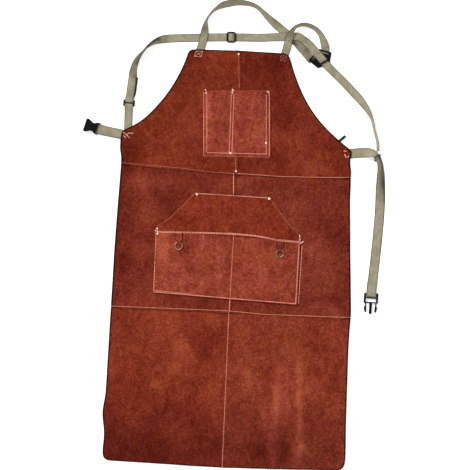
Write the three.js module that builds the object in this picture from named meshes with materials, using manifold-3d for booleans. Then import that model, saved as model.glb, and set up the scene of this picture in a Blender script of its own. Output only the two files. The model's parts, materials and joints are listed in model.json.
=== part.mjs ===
// Leather welding apron lying flat on its back, with its straps spread out on the floor.
// Millimetres, +Z up, +Y from the hem to the bib, the origin on the floor under the middle.
import * as THREE from 'three';
import { mergeVertices } from 'three/addons/utils/BufferGeometryUtils.js';
import Module from 'manifold-3d';

// Leather
const LEATHER = 1.6;
const CLEAR = 0.4;
const STEP = LEATHER + CLEAR;
const LAP = 10;
const RAMP = 14;
const HEM = 8;
const POCKET_CLEAR = 0.75;
const CHEST_DIVIDER = 0.44;
const TOOL_DIVIDER = 0.534;
const TOOL_MOUTH_ROW = 6;
const LAP_SLACK = 2;
const SWELL_POWER = 0.6;
const LIFT_SPREAD = 40;
const BOX_SHIFT = { x: 2.85, y: -2.2 };

// Webbing
const SHOULDER_WIDTH = 21;
const WAIST_WIDTH = 25;
const WEBBING = 1.4;
const OVER = WEBBING + CLEAR;
const STATION_PITCH = 9;
const EDGE_TAB_WIDTH = 7;

// Plastic and metal
const BAR = 2.4;
const BAR_BOTTOM = OVER;
const BAR_TOP = BAR_BOTTOM + BAR;
const LOOP_TOP = BAR_TOP + CLEAR;
const RING_RADIUS = 9.3;
const RING_WIRE = 1.4;
const TAB_WIDTH = 17;
const TAB_LENGTH = 22;
const TAB_HEAD = 3;
const TAB_THICK = 2.6;
const EYE_WIDTH = 9;
const EYE_HOLE = 2.6;
const EYE_RADIUS = 3.9;
const TAB_SEAT = { near: 4, middle: 16, far: 38, lift: 0.5 };
const SLIDER_PLAY = 1.4;
const NECK_SLIDER_SIZE = { length: 23.4, width: 27.5, endBar: 3.1, radius: 6 };
const SIDE_SLIDER_SIZE = { length: 15.6, width: 29, endBar: BAR, radius: 1.6 };
const CORNER_CUTS = 4;
const CORNER_EDGE = 0.2;
const WAIST_RING_SIZE = { side: 1.6, gap: 3.8, wall: 2.2, length: 2.4 };
const BRIDGE = { half: 2, post: 1.8, sink: 0.5 };
const SLOT_WIDTH = 4;

function table(columns, rows) {
  return rows.map((row) => Object.fromEntries(row.map((value, i) => [columns[i], value])));
}

// Sections across the apron: its left edge, its middle seam and its right edge.
const ACROSS = ['leftX', 'leftY', 'seamX', 'seamY', 'rightX', 'rightY'];

const BIB_SECTIONS = table(ACROSS, [
  [-124, 471, -3.5, 473, 118, 470.5],
  [-131.5, 465.5, -3.5, 466, 126.5, 464],
  [-134.5, 457, -3, 456, 130, 455],
  [-140, 438, -2, 437, 135.5, 437],
  [-156.5, 399, 0, 398, 150, 399],
  [-180, 357, 1.5, 356, 170.5, 357],
  [-207, 322, 1.5, 321, 193.5, 322],
  [-234, 291.5, 1.2, 288, 224, 287],
  [-259, 272.5, 1.2, 266, 246, 268],
  [-281, 261, 1.2, 252, 266, 251],
  [-293.5, 254, 1.2, 240, 284, 238],
  [-296, 240, 1.2, 227, 299, 226.5],
  [-297.5, 218, 1.2, 210, 294.5, 212],
  [-296, 200, 1.2, 192, 293.5, 194],
]);

const BIB_SEAM = table(ACROSS, [[-293, 172, 1, 158.5, 297.5, 160]])[0];

const WAIST_SECTIONS = table(ACROSS, [
  [-293.5, 150, -2, 137, 298.3, 138],
  [-294.3, 130, -1.5, 119, 298, 119],
  [-295, 107, -1, 101, 298, 100],
  [-296.5, 74, -0.5, 69, 299.5, 67],
  [-297.7, 40, 0, 35, 301, 33],
  [-299, 5, 0.2, 1, 302.8, -2],
  [-300, -30, 0.5, -33, 304.5, -36],
  [-300.8, -65, 0.8, -67, 306.5, -70],
  [-301.5, -100, 1, -101, 308.5, -104],
  [-302, -130, 1.1, -133, 310, -135],
  [-302.5, -158, 1.2, -160, 311.5, -162],
]);

const WAIST_SEAM = table(ACROSS, [[-303, -195.5, 0.8, -195.5, 312.4, -199]])[0];

const SKIRT_SECTIONS = table(ACROSS, [
  [-304, -225, 0.3, -225, 311, -228],
  [-304.5, -257, 0.2, -257, 310.3, -260],
  [-305, -290, 0, -290, 310, -292],
  [-305.7, -325, -0.2, -325, 310.4, -326],
  [-306.3, -360, -0.3, -360, 310.8, -360],
  [-306.8, -392, -0.3, -392, 311.2, -392],
  [-307.5, -425, -0.4, -425, 311.5, -425],
  [-311.5, -448, -0.4, -448, 311.7, -448],
  [-313.5, -470, -0.4, -470, 312, -470],
  [-310.5, -495, -0.4, -495, 312.7, -496],
  [-306.5, -518, -0.5, -520, 313.5, -520],
  [-307.5, -542, -0.5, -546, 314, -543],
  [-309, -564, -0.5, -570, 314.4, -563],
  [-308.5, -581, -0.5, -587, 312.5, -582],
  [-300, -591.5, -0.5, -597.5, 302, -592.5],
]);

// Soft ridges of the leather along a line, with their half width and height.
const FOLDS = table(['fromX', 'fromY', 'toX', 'toY', 'half', 'height'], [
  [128, -385, 124, -640, 27, 6],
  [76, -440, 78, -640, 24, 4.5],
  [180, -420, 178, -640, 27, 4.5],
  [-232, -480, -140, -590, 34, 5],
  [-345, -474, -220, -452, 34, 7],
  [-90, -510, -86, -640, 34, 4],
  [-330, -40, -208, -76, 42, 4],
  [330, 15, 200, 45, 42, 4],
  [262, -300, 250, -470, 40, 4],
  [-205, 335, -125, 292, 34, 3],
]);

// Places where a strap is sewn behind the leather and lifts it.
const LIFTS = table(['x', 'y', 'halfX', 'halfY', 'height'], [
  [-104, 462, 20, 26, OVER],
  [114, 462, 20, 26, OVER],
  [-277, 246, 30, 30, 2 * OVER + 0.1],
  [282, 218, 32, 28, OVER + 0.1],
  [266, 250, 22, 18, OVER],
]);

// Pocket walls: the left and right edge of each section and how far the wall stands open there.
const POCKET = ['leftX', 'leftY', 'rightX', 'rightY', 'edge', 'open', 'tool'];

const CHEST_SECTIONS = table(POCKET, [
  [-88.3, 367, 82.2, 374.3, 0, 6.6, 0],
  [-87.3, 334, 83.6, 340, 0, 6.6, 0],
  [-86, 290, 85.5, 295, 0, 6.2, 0],
  [-84.7, 252, 87.5, 256, 0, 5, 0],
  [-83.7, 224, 88.8, 227, 0, 2.6, 0],
  [-83.2, 208, 89.3, 210.5, 0, 0, 0],
  [-83, 200.3, 89.5, 202.6, 0, 0, 0],
]);

const HAND_SECTIONS = table(POCKET, [
  [-105.3, 104.3, 99.4, 92.6, 0, 0, 0],
  [-109, 96.5, 105, 84.5, 0, 0, 0],
  [-120, 82, 115, 69, 3.2, 4.8, 0],
  [-134, 67, 128, 52, 5, 5.6, 0],
  [-162, 37, 148.5, 29, 5.6, 6, 0],
  [-192, 15, 169, 9.5, 0.6, 6, 0],
  [-194, 1.5, 175.5, -10.5, 0, 5.8, 7],
  [-194.6, -30, 175, -43, 0, 5, 7],
  [-195, -65, 174.6, -79, 0, 3.4, 6.6],
  [-195.3, -103, 174.2, -117, 0, 1.4, 5.4],
  [-195.5, -133, 173.9, -148, 0, 0.4, 2.6],
  [-195.6, -148.5, 173.7, -164.8, 0, 0, 0],
  [-195.6, -156.3, 173.6, -172.7, 0, 0, 0],
]);

// Strap routes: the middle of the webbing, the height of its lowest edge and its tilt in degrees.
const ROUTE = ['x', 'y', 'base', 'tilt'];

const SHOULDER_LEFT_ROUTE = table(ROUTE, [
  [-109, 447, 0, 0],
  [-106, 460, 0, 0],
  [-101, 475, 0, 0],
  [-97.5, 487, OVER, 0],
  [-94.6, 503, OVER, 0],
  [-92.6, 518, OVER, 22],
  [-91.2, 532, 0.6, 52],
  [-89.3, 545, 0, 78],
  [-83.6, 557, 0, 84],
  [-74, 569.5, 0, 82],
  [-62.5, 579, 0, 70],
  [-49, 587, 0, 49],
  [-34, 591.5, 0, 43],
  [-13.5, 595, 0, 52],
  [7, 594.3, 0, 61],
  [25.5, 591, 0, 69],
  [40, 584.4, 0, 71],
  [52, 574.5, 0, 64],
  [65, 562.5, 0, 52],
  [81, 549, 0, 34],
  [91, 541.5, 0, 12],
  [99.5, 535.5, 0, 0],
  [112, 525.5, 0, 0],
  [137, 506.5, 0, 0],
  [154, 489.2, 0, 0],
  [169, 473, 0, 0],
  [181, 460, 0, 0],
  [186.5, 454.8, 0, 0],
]);

const SHOULDER_RIGHT_ROUTE = table(ROUTE, [
  [108.5, 445, 0, 0],
  [112, 458, 0, 0],
  [117, 474.5, 0, 0],
  [120, 487, 2 * OVER, 0],
  [123, 502, 2 * OVER, 0],
  [126, 515, 2 * OVER, 24],
  [131, 527, 2 * OVER, 56],
  [138, 536.5, OVER, 72],
  [148.5, 543, 0, 74],
  [162.5, 545.5, 0, 72],
  [176.5, 542.7, 0, 70],
  [191, 535.5, 0, 66],
  [203, 523.3, 0, 58],
  [211, 508.5, 0, 44],
  [216, 496, 0, 20],
  [218.6, 486, 0, 0],
  [218.8, 473, 0, 0],
  [217, 461, 0, 0],
]);

const SIDE_SLIDER = { x: -278.9, y: 326.5, heading: 88 };
const SLIDER_BARS = 6.6;
const SLIDER_SLACK = 2;

const NECK_TAIL_ROUTE = table(ROUTE, [
  [-268.8, 394, 0, 0],
  [-270.6, 375, 0, 0],
  [-273, 352, 0, 0],
]);

const NECK_ROUTE = table(ROUTE, [
  [-276.6, 349, OVER + 1, 0],
  [-274.8, 369, OVER, 0],
  [-272.4, 393, OVER, 0],
  [-270.6, 412, 0.6, 36],
  [-265.7, 430, 0, 50],
  [-257.5, 446, 0, 70],
  [-247.6, 459, 0, 84],
  [-239, 470, 0, 84],
  [-227, 480, 0, 72],
  [-215, 487, 0, 55],
  [-199, 493, 0, 26],
  [-181, 496.4, 0, 0],
  [-155.5, 498.6, 0, 0],
  [-122, 500.9, 0, 0],
  [-95, 502.6, 0, 0],
  [-55.7, 504.8, 0, 0],
]);

const NECK_SLIDER = { x: -24.2, y: 506.2, heading: 2 };

// The webbing's way through the neck slider: its two lengths meet under one end bar, then it goes over
// the middle bar and under the other end bar.
const WEAVE = ['reach', 'base'];
const NECK_END = table(WEAVE, [[-10, 0]]);
const NECK_WEAVE = table(WEAVE, [
  [-9.5, 0],
  [-8.3, 0],
  [-2.1, LOOP_TOP],
  [2.1, LOOP_TOP],
  [8.3, 0],
  [13, 0],
]);

const BACK_ROUTE = table(ROUTE, [
  [11, 507.4, 0, 0],
  [49.5, 508.4, 0, 0],
  [76, 510.4, 0, 0],
  [95, 512, OVER, 0],
  [126, 514.5, OVER, 0],
  [139, 515, OVER, 0],
  [150, 512.8, OVER, 28],
  [160, 507.6, OVER, 36],
  [170, 500.5, OVER, 14],
  [183, 488.5, LOOP_TOP, 0],
  [199.7, 471, LOOP_TOP, 0],
  [212.4, 457, LOOP_TOP, 0],
  [223, 445, LOOP_TOP, 0],
  [231, 437.5, LOOP_TOP - 0.3, 0],
  [247, 423.5, 0, 0],
  [276.5, 396.6, 0, 0],
  [300.5, 372, 0, 14],
  [312.6, 359.5, 0, 26],
  [322.2, 347.4, 0, 42],
  [331.7, 334.8, 0, 56],
  [338.8, 322.4, 0, 68],
  [345, 309.5, 0, 78],
  [351.5, 284.4, 0, 80],
  [358.5, 262, 0, 80],
  [361.5, 249, 0, 78],
  [363.2, 229.8, 0, 76],
]);

const SIDE_TAIL_ROUTE = table(ROUTE, [[-278.9, 304, 0, 0]]);

const SIDE_ROUTE = table(ROUTE, [
  [-278.9, 300, 1.2, 0],
  [-278.9, 286, 0, 0],
  [-278.5, 262, 0, 0],
  [-278, 237, 0, 0],
]);

const SOCKET = { x: -353.5, y: 256.3, heading: 164 };
const SOCKET_SLACK = 1.6;

const WAIST_LEFT_TAIL_ROUTE = table(ROUTE, [[-331, 251.5, 0, 0]]);

const WAIST_LEFT_ROUTE = table(ROUTE, [
  [-332, 251.8, 2.6, 0],
  [-317, 249.2, OVER, 0],
  [-303, 247, OVER, 0],
  [-283, 243, OVER, 0],
  [-263, 239, OVER, 0],
]);

const PLUG = { x: 362.4, y: -135.2, heading: -91 };
const PLUG_SLACK = 7;

const WAIST_RIGHT_TAIL_ROUTE = table(ROUTE, [[363.8, -105, 0, 0]]);

const WAIST_RIGHT_ROUTE = table(ROUTE, [
  [364.3, -108, 2.4, 0],
  [366, -86, 0, 0],
  [369.6, -36, 0, 0],
  [372.8, 15.7, 0, 0],
  [374.6, 54, 0, 0],
  [375.4, 92.5, 0, 0],
  [374.6, 131, 0, 8],
  [373.8, 162, 0, 26],
  [371.8, 186, 1.5, 44],
  [368.6, 202, 4, 50],
  [362.6, 213.4, 4.6, 50],
  [354, 221.5, 3.2, 38],
  [341, 225.2, OVER, 12],
  [323.6, 224.7, 0, 0],
  [298, 221.5, 0, 0],
  [274, 218, 0, 0],
]);

// The ring leans along the strap and hangs on it.
const WAIST_RING = { x: 362.6, y: 213.4, heading: 125, base: 4.6, tilt: 50, lean: 48, hang: 0.75 };

const EDGE_TAB_ROUTE = table(ROUTE, [
  [257.5, 246, 0, 0],
  [266, 253.8, 0, 0],
  [279.4, 266, 0, 0],
]);

// Corners of the back keeper's plate, in order round it.
const KEEPER_CORNERS = table(['x', 'y'], [
  [175.5, 455.4],
  [201.5, 436],
  [230.8, 448.8],
  [234.4, 478.2],
  [202.7, 486.1],
]);
const KEEPER_BRIDGE = { x: 216.5, y: 452.4, heading: 32, reach: 13.2 };
const KEEPER_SLOTS = table(['x', 'y', 'heading', 'length'], [
  [193.4, 467, 48.5, 22],
  [217.2, 476.6, -14, 20],
]);

const RING_TABS = table(['name', 'x', 'y'], [
  ['left', -135.5, -3.2],
  ['right', 122.5, -12],
]);

// Half the outline of the buckle's socket, from the strap's side to the mouth.
const SOCKET_HALF = table(['x', 'y'], [
  [5, 14.5],
  [9, 14],
  [13, 10.8],
  [20, 10.6],
  [26, 14.5],
  [30, 16.4],
  [37, 16.6],
]);
const SOCKET_TOP = 10.5;
const SOCKET_FRAME = { end: 7, half: 15.5, slotEnd: 5.6, slotHalf: 13.1 };
const SOCKET_CAVITY = { from: 14, to: 40, half: 13.2, bottom: 2, top: 8.5 };

// One springy arm of the buckle's plug, round its outline.
const PLUG_ARM = table(['x', 'y'], [
  [23, 15.6],
  [31, 14.4],
  [36, 17.2],
  [46, 15.2],
  [49, 12.6],
  [47, 10.4],
  [36, 11],
  [23, 12.4],
]);
const PLUG_HALF = 18.2;
const PLUG_REAR = { end: 13, slotEnd: 10.4, slotHalf: 13.1 };
const PLUG_BASE = { from: 10.4, to: 24.4, slotFrom: 13, slotTo: 21.4, slotHalf: 13.2, top: 5.6 };
const PLUG_GUIDE = { from: 23, to: 52, half: 3.4 };
const PLUG_PRONGS = { bottom: 0.8, top: 5 };

const wasm = await Module();
wasm.setup();

function toSolid(geometry) {
  const bare = geometry.clone();
  bare.deleteAttribute('normal');
  bare.deleteAttribute('uv');
  const merged = mergeVertices(bare, 1e-4);
  const mesh = new wasm.Mesh({
    numProp: 3,
    vertProperties: new Float32Array(merged.attributes.position.array),
    triVerts: new Uint32Array(merged.index.array),
  });
  return new wasm.Manifold(mesh);
}

function fromSolid(solid) {
  const mesh = solid.getMesh();
  return closedGeometry(Array.from(mesh.vertProperties), Array.from(mesh.triVerts));
}

function unite(geometries) {
  const solids = geometries.map(toSolid);
  return fromSolid(solids.reduce((whole, next) => whole.add(next)));
}

function closedGeometry(position, index) {
  const geometry = new THREE.BufferGeometry();
  geometry.setAttribute('position', new THREE.Float32BufferAttribute(position, 3));
  geometry.setIndex(index);
  geometry.computeVertexNormals();
  return geometry;
}

function clamp01(value) {
  return THREE.MathUtils.clamp(value, 0, 1);
}

// How far the leather stands off the floor because of its folds and the straps behind it.
function foldRise(x, y) {
  let rise = 0;
  for (const fold of FOLDS) {
    const dx = fold.toX - fold.fromX;
    const dy = fold.toY - fold.fromY;
    const length = Math.hypot(dx, dy);
    const along = ((x - fold.fromX) * dx + (y - fold.fromY) * dy) / length;
    const across = Math.abs((x - fold.fromX) * dy - (y - fold.fromY) * dx) / length;
    if (across < fold.half && along > 0 && along < length) {
      const ends = Math.sin(Math.PI * along / length);
      rise += fold.height * ends * 0.5 * (1 + Math.cos(Math.PI * across / fold.half));
    }
  }
  return rise;
}

function strapRise(x, y) {
  let rise = 0;
  for (const lift of LIFTS) {
    const outside = Math.max(Math.abs(x - lift.x) - lift.halfX, Math.abs(y - lift.y) - lift.halfY, 0);
    rise = Math.max(rise, lift.height * (1 - THREE.MathUtils.smoothstep(outside, 0, LIFT_SPREAD)));
  }
  return rise;
}

function floorRise(x, y) {
  return foldRise(x, y) + strapRise(x, y);
}

// A sheet of leather from the grid of points on its underside, rows from +Y, columns from -X.
function sheet(rows, thickness) {
  const count = rows.length;
  const width = rows[0].length;
  const position = [];
  const index = [];
  for (const rise of [0, thickness]) {
    for (const row of rows) {
      row.forEach((point) => position.push(point.x, point.y, point.z + rise));
    }
  }
  const at = (layer, i, j) => (layer * count + i) * width + j;
  const wall = (i0, j0, i1, j1) => {
    index.push(at(0, i0, j0), at(0, i1, j1), at(1, i1, j1));
    index.push(at(0, i0, j0), at(1, i1, j1), at(1, i0, j0));
  };
  for (let i = 0; i + 1 < count; i += 1) {
    for (let j = 0; j + 1 < width; j += 1) {
      index.push(at(1, i, j), at(1, i + 1, j), at(1, i + 1, j + 1));
      index.push(at(1, i, j), at(1, i + 1, j + 1), at(1, i, j + 1));
      index.push(at(0, i, j), at(0, i + 1, j + 1), at(0, i + 1, j));
      index.push(at(0, i, j), at(0, i, j + 1), at(0, i + 1, j + 1));
    }
  }
  for (let i = 0; i + 1 < count; i += 1) {
    wall(i, 0, i + 1, 0);
    wall(i + 1, width - 1, i, width - 1);
  }
  for (let j = 0; j + 1 < width; j += 1) {
    wall(0, j + 1, 0, j);
    wall(count - 1, j, count - 1, j + 1);
  }
  return closedGeometry(position, index);
}

// A section moved up or down the apron.
function moved(section, rise) {
  return {
    ...section,
    leftY: section.leftY + rise,
    seamY: section.seamY + rise,
    rightY: section.rightY + rise,
  };
}

// The sections of one row of panels: its own, between the laps of the seams above and below it.
function panelSections(above, sections, below) {
  const rows = [];
  if (above) {
    rows.push({ ...moved(above, LAP / 2), lapped: 0 });
    rows.push({ ...moved(above, -LAP / 2), lapped: 0 });
  }
  sections.forEach((section) => rows.push({ ...section, lapped: 0 }));
  if (below) {
    rows.push({ ...moved(below, LAP / 2 + RAMP), lapped: 0 });
    rows.push({ ...moved(below, LAP / 2), lapped: 1 });
    rows.push({ ...moved(below, -LAP / 2), lapped: 1 });
  }
  return rows;
}

// One half of a row of panels. Side -1 is the left half; the half on top rises over the middle lap.
function panel(sections, side, onTop, columns) {
  const rows = sections.map((section) => {
    const edgeX = side < 0 ? section.leftX : section.rightX;
    const edgeY = side < 0 ? section.leftY : section.rightY;
    const near = [-LAP / 2, LAP / 2, LAP / 2 + RAMP].map((reach) => section.seamX + side * reach);
    const outer = Array.from({ length: columns }, (_, i) => {
      return THREE.MathUtils.lerp(near[2], edgeX, (i + 1) / columns);
    });
    const row = [...near, ...outer].map((x, column) => {
      const share = clamp01((x - near[1]) / (edgeX - near[1]));
      const y = THREE.MathUtils.lerp(section.seamY, edgeY, share);
      const inLap = column < 2 ? 1 : 0;
      const layers = section.lapped * (1 + inLap) + (onTop ? inLap : 0);
      return new THREE.Vector3(x, y, floorRise(x, y) + STEP * layers);
    });
    return side < 0 ? row.reverse() : row;
  });
  return sheet(rows, LEATHER);
}

// Top of the leather that a pocket is sewn on, with the rise over the middle lap.
function backingTop(x, y) {
  const off = Math.abs(x);
  const lap = clamp01((LAP / 2 + RAMP + LAP_SLACK - off) / RAMP);
  return floorRise(x, y) + LEATHER + STEP * lap;
}

// Shares of the width where a pocket wall has its columns: borders, divider and the open spans.
function pocketColumns(hem, divider, cells) {
  const shares = [0, hem];
  for (const [from, to] of [[hem, divider - hem / 2], [divider + hem / 2, 1 - hem]]) {
    if (from > hem) {
      shares.push(from);
    }
    for (let i = 1; i <= cells; i += 1) {
      shares.push(THREE.MathUtils.lerp(from, to, i / cells));
    }
  }
  return [...shares, 1];
}

// Share of the full opening at a place across a pocket: nothing on the sewn borders.
function swell(share, hem, stops) {
  for (let i = 0; i + 1 < stops.length; i += 1) {
    const from = stops[i] + (i === 0 ? hem : hem / 2);
    const to = stops[i + 1] - (i + 2 === stops.length ? hem : hem / 2);
    if (share > from && share < to) {
      return Math.sin(Math.PI * (share - from) / (to - from)) ** SWELL_POWER;
    }
  }
  return 0;
}

function pocketRows(sections, shares, underside) {
  return sections.map((section, i) => shares.map((share) => {
    const x = THREE.MathUtils.lerp(section.leftX, section.rightX, share);
    const y = THREE.MathUtils.lerp(section.leftY, section.rightY, share);
    return new THREE.Vector3(x, y, underside(section, share, x, y, i));
  }));
}

function chestPocketRows() {
  const hem = HEM / (CHEST_SECTIONS[0].rightX - CHEST_SECTIONS[0].leftX);
  const shares = pocketColumns(hem, CHEST_DIVIDER, 6);
  return pocketRows(CHEST_SECTIONS, shares, (section, share, x, y) => {
    return backingTop(x, y) + POCKET_CLEAR + section.open * swell(share, hem, [0, CHEST_DIVIDER, 1]);
  });
}

const HAND_HEM = HEM / (HAND_SECTIONS[TOOL_MOUTH_ROW].rightX - HAND_SECTIONS[TOOL_MOUTH_ROW].leftX);
const HAND_SHARES = pocketColumns(HAND_HEM, TOOL_DIVIDER, 7);

function handUnderside(section, share, x, y, i) {
  const stops = i < TOOL_MOUTH_ROW ? [0, 1] : [0, TOOL_DIVIDER, 1];
  const open = section.edge + (section.open - section.edge) * swell(share, HAND_HEM, stops);
  return backingTop(x, y) + POCKET_CLEAR + open;
}

function handPocketRows() {
  return pocketRows(HAND_SECTIONS, HAND_SHARES, handUnderside);
}

function toolPocketRows() {
  const sections = HAND_SECTIONS.slice(TOOL_MOUTH_ROW);
  return pocketRows(sections, HAND_SHARES, (section, share, x, y) => {
    const behind = handUnderside(section, share, x, y, TOOL_MOUTH_ROW);
    return behind + STEP + section.tool * swell(share, HAND_HEM, [0, TOOL_DIVIDER, 1]);
  });
}

// Height of a sheet's underside at a place, from the triangle of its grid that covers it.
function heightAt(rows, x, y) {
  for (let i = 0; i + 1 < rows.length; i += 1) {
    for (let j = 0; j + 1 < rows[0].length; j += 1) {
      const cell = [rows[i][j], rows[i + 1][j], rows[i + 1][j + 1], rows[i][j + 1]];
      for (const [a, b, c] of [[0, 1, 2], [0, 2, 3]]) {
        const flat = [a, b, c].map((k) => new THREE.Vector3(cell[k].x, cell[k].y, 0));
        const face = new THREE.Triangle(...flat);
        const place = new THREE.Vector3(x, y, 0);
        if (face.containsPoint(place)) {
          const weight = face.getBarycoord(place, new THREE.Vector3());
          return weight.x * cell[a].z + weight.y * cell[b].z + weight.z * cell[c].z;
        }
      }
    }
  }
  return 0;
}

// Stations along a strap's route, with the plan as a smooth curve and the height eased.
function stations(route, width) {
  const spots = route.map((row) => new THREE.Vector3(row.x, row.y, 0));
  const plan = new THREE.CatmullRomCurve3(spots, false, 'centripetal');
  const places = [];
  for (let i = 0; i + 1 < route.length; i += 1) {
    const [from, to] = [route[i], route[i + 1]];
    const cuts = Math.max(1, Math.round(Math.hypot(to.x - from.x, to.y - from.y) / STATION_PITCH));
    for (let k = i ? 1 : 0; k <= cuts; k += 1) {
      const share = k / cuts;
      const point = plan.getPoint((i + share) / (route.length - 1));
      const eased = cuts > 1 ? THREE.MathUtils.smoothstep(share, 0, 1) : share;
      const tilt = THREE.MathUtils.degToRad(THREE.MathUtils.lerp(from.tilt, to.tilt, eased));
      const base = THREE.MathUtils.lerp(from.base, to.base, eased);
      point.z = base + 0.5 * (width * Math.sin(tilt) + WEBBING * Math.cos(tilt));
      places.push({ point, tilt });
    }
  }
  return places;
}

// A strap of webbing along a route. Its width stays level, apart from the tilt.
function strap(route, width, thickness = WEBBING) {
  const places = stations(route, width);
  const up = new THREE.Vector3(0, 0, 1);
  const position = [];
  const index = [];
  let side = null;
  places.forEach(({ point, tilt }, i) => {
    const before = places[Math.max(i - 1, 0)].point;
    const after = places[Math.min(i + 1, places.length - 1)].point;
    const along = new THREE.Vector3().subVectors(after, before).normalize();
    const level = new THREE.Vector3().crossVectors(up, along);
    if (level.length() > 0.3 || !side) {
      level.normalize();
      side = side && side.dot(level) < 0 ? level.negate() : level;
    }
    const face = new THREE.Vector3().crossVectors(along, side).normalize();
    const wide = side.clone().multiplyScalar(Math.cos(tilt)).addScaledVector(face, Math.sin(tilt));
    const thick = new THREE.Vector3().crossVectors(along, wide).normalize();
    for (const [w, t] of [[-1, -1], [1, -1], [1, 1], [-1, 1]]) {
      const corner = point.clone();
      corner.addScaledVector(wide, w * width / 2).addScaledVector(thick, t * thickness / 2);
      position.push(corner.x, corner.y, corner.z);
    }
  });
  const at = (i, k) => 4 * i + (k % 4);
  const last = places.length - 1;
  for (let i = 0; i < last; i += 1) {
    for (const k of [0, 1, 3]) {
      index.push(at(i, k), at(i, k + 1), at(i + 1, k + 1));
      index.push(at(i, k), at(i + 1, k + 1), at(i + 1, k));
    }
    // The upper face is split along the same diagonal as the lower one, so a twist keeps its thickness.
    index.push(at(i, 2), at(i, 3), at(i + 1, 2));
    index.push(at(i, 3), at(i + 1, 3), at(i + 1, 2));
  }
  index.push(at(0, 0), at(0, 2), at(0, 1), at(0, 0), at(0, 3), at(0, 2));
  index.push(at(last, 0), at(last, 1), at(last, 2), at(last, 0), at(last, 2), at(last, 3));
  return outward(closedGeometry(position, index));
}

// A closed surface with its faces turned outward.
function outward(geometry) {
  const place = geometry.attributes.position;
  const index = geometry.index;
  let volume = 0;
  const [a, b, c] = [new THREE.Vector3(), new THREE.Vector3(), new THREE.Vector3()];
  for (let i = 0; i < index.count; i += 3) {
    a.fromBufferAttribute(place, index.getX(i));
    b.fromBufferAttribute(place, index.getX(i + 1));
    c.fromBufferAttribute(place, index.getX(i + 2));
    volume += a.dot(b.cross(c));
  }
  if (volume < 0) {
    const turned = Array.from(index.array);
    for (let i = 0; i < turned.length; i += 3) {
      [turned[i + 1], turned[i + 2]] = [turned[i + 2], turned[i + 1]];
    }
    geometry.setIndex(turned);
    geometry.computeVertexNormals();
  }
  return geometry;
}

// Route rows at a bar or slider, from how far along its heading and how high each one is.
function rowsAlong(spot, rows) {
  const heading = THREE.MathUtils.degToRad(spot.heading);
  return rows.map(({ reach, base }) => ({
    x: spot.x + reach * Math.cos(heading),
    y: spot.y + reach * Math.sin(heading),
    base,
    tilt: 0,
  }));
}

// The turn of a strap round a bar: in under it along the heading, back over it, with some slack.
function loopRows(bar, offset, slack) {
  const turn = BAR / 2 + CLEAR + WEBBING / 2 + slack;
  const rows = table(WEAVE, [
    [-4, 0],
    [0, 0],
    [turn - 0.8, 0.05],
    [turn, 1],
    [turn, LOOP_TOP - 1],
    [turn - 0.8, LOOP_TOP - 0.05],
    [0, LOOP_TOP],
    [-4, LOOP_TOP - 0.1],
  ]);
  return rowsAlong(bar, rows.map(({ reach, base }) => ({ reach: offset + reach, base })));
}

function corners(rows) {
  return rows.map((row) => new THREE.Vector2(row.x, row.y));
}

function rectangle(x0, y0, x1, y1) {
  return corners(table(['x', 'y'], [[x0, y0], [x1, y0], [x1, y1], [x0, y1]]));
}

// A rectangle about the origin with rounded corners.
function rounded(halfX, halfY, radius) {
  const spots = [];
  const [cornerX, cornerY] = [halfX - radius, halfY - radius];
  for (const [i, [sideX, sideY]] of [[1, 1], [-1, 1], [-1, -1], [1, -1]].entries()) {
    for (let k = 0; k <= CORNER_CUTS; k += 1) {
      const turn = (i + k / CORNER_CUTS) * Math.PI / 2;
      const x = sideX * cornerX + radius * Math.cos(turn);
      spots.push(new THREE.Vector2(x, sideY * cornerY + radius * Math.sin(turn)));
    }
  }
  return spots;
}

// A plate from one height to another.
function block(outline, bottom, top) {
  const shape = new THREE.Shape(outline);
  const geometry = new THREE.ExtrudeGeometry(shape, { depth: top - bottom, bevelEnabled: false });
  return geometry.translate(0, 0, bottom);
}

// A plate with windows cut right through it.
function plate(outline, windows, bottom, top) {
  const body = block(outline, bottom, top);
  const cuts = windows.map((window) => toSolid(block(window, bottom - 1, top + 1)));
  return fromSolid(cuts.reduce((whole, cut) => whole.subtract(cut), toSolid(body)));
}

// A slider: a plate with two windows, its bars across the strap, the strap along +X.
function sliderPlate({ length, width, endBar, radius }) {
  const half = (SHOULDER_WIDTH + SLIDER_PLAY) / 2;
  const inner = length / 2 - endBar;
  const windows = [rectangle(-inner, -half, -BAR / 2, half), rectangle(BAR / 2, -half, inner, half)];
  return plate(rounded(length / 2, width / 2, radius), windows, BAR_BOTTOM, BAR_TOP);
}

// The back keeper: a plate with a slot for each shoulder strap and a bridge over the back strap.
function keeperGeometry() {
  const turned = (geometry, spot) => {
    return geometry.rotateZ(THREE.MathUtils.degToRad(spot.heading)).translate(spot.x, spot.y, 0);
  };
  const body = block(corners(KEEPER_CORNERS), BAR_BOTTOM, BAR_TOP);
  const slots = KEEPER_SLOTS.map((slot) => {
    const window = rectangle(-slot.length / 2, -SLOT_WIDTH / 2, slot.length / 2, SLOT_WIDTH / 2);
    return turned(block(window, BAR_BOTTOM - 1, BAR_TOP + 1), slot);
  });
  const { reach } = KEEPER_BRIDGE;
  const bottom = LOOP_TOP + WEBBING + CLEAR;
  const { half, post, sink } = BRIDGE;
  const span = rectangle(-reach - half, -half, reach + half, half);
  const bridge = turned(block(span, bottom, bottom + BAR), KEEPER_BRIDGE);
  const posts = [-reach, reach].map((middle) => {
    const foot = rectangle(middle - post, -post, middle + post, post);
    return turned(block(foot, BAR_BOTTOM + sink, bottom + sink), KEEPER_BRIDGE);
  });
  const solid = toSolid(unite([body, bridge, ...posts]));
  return fromSolid(slots.map(toSolid).reduce((whole, slot) => whole.subtract(slot), solid));
}

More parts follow.
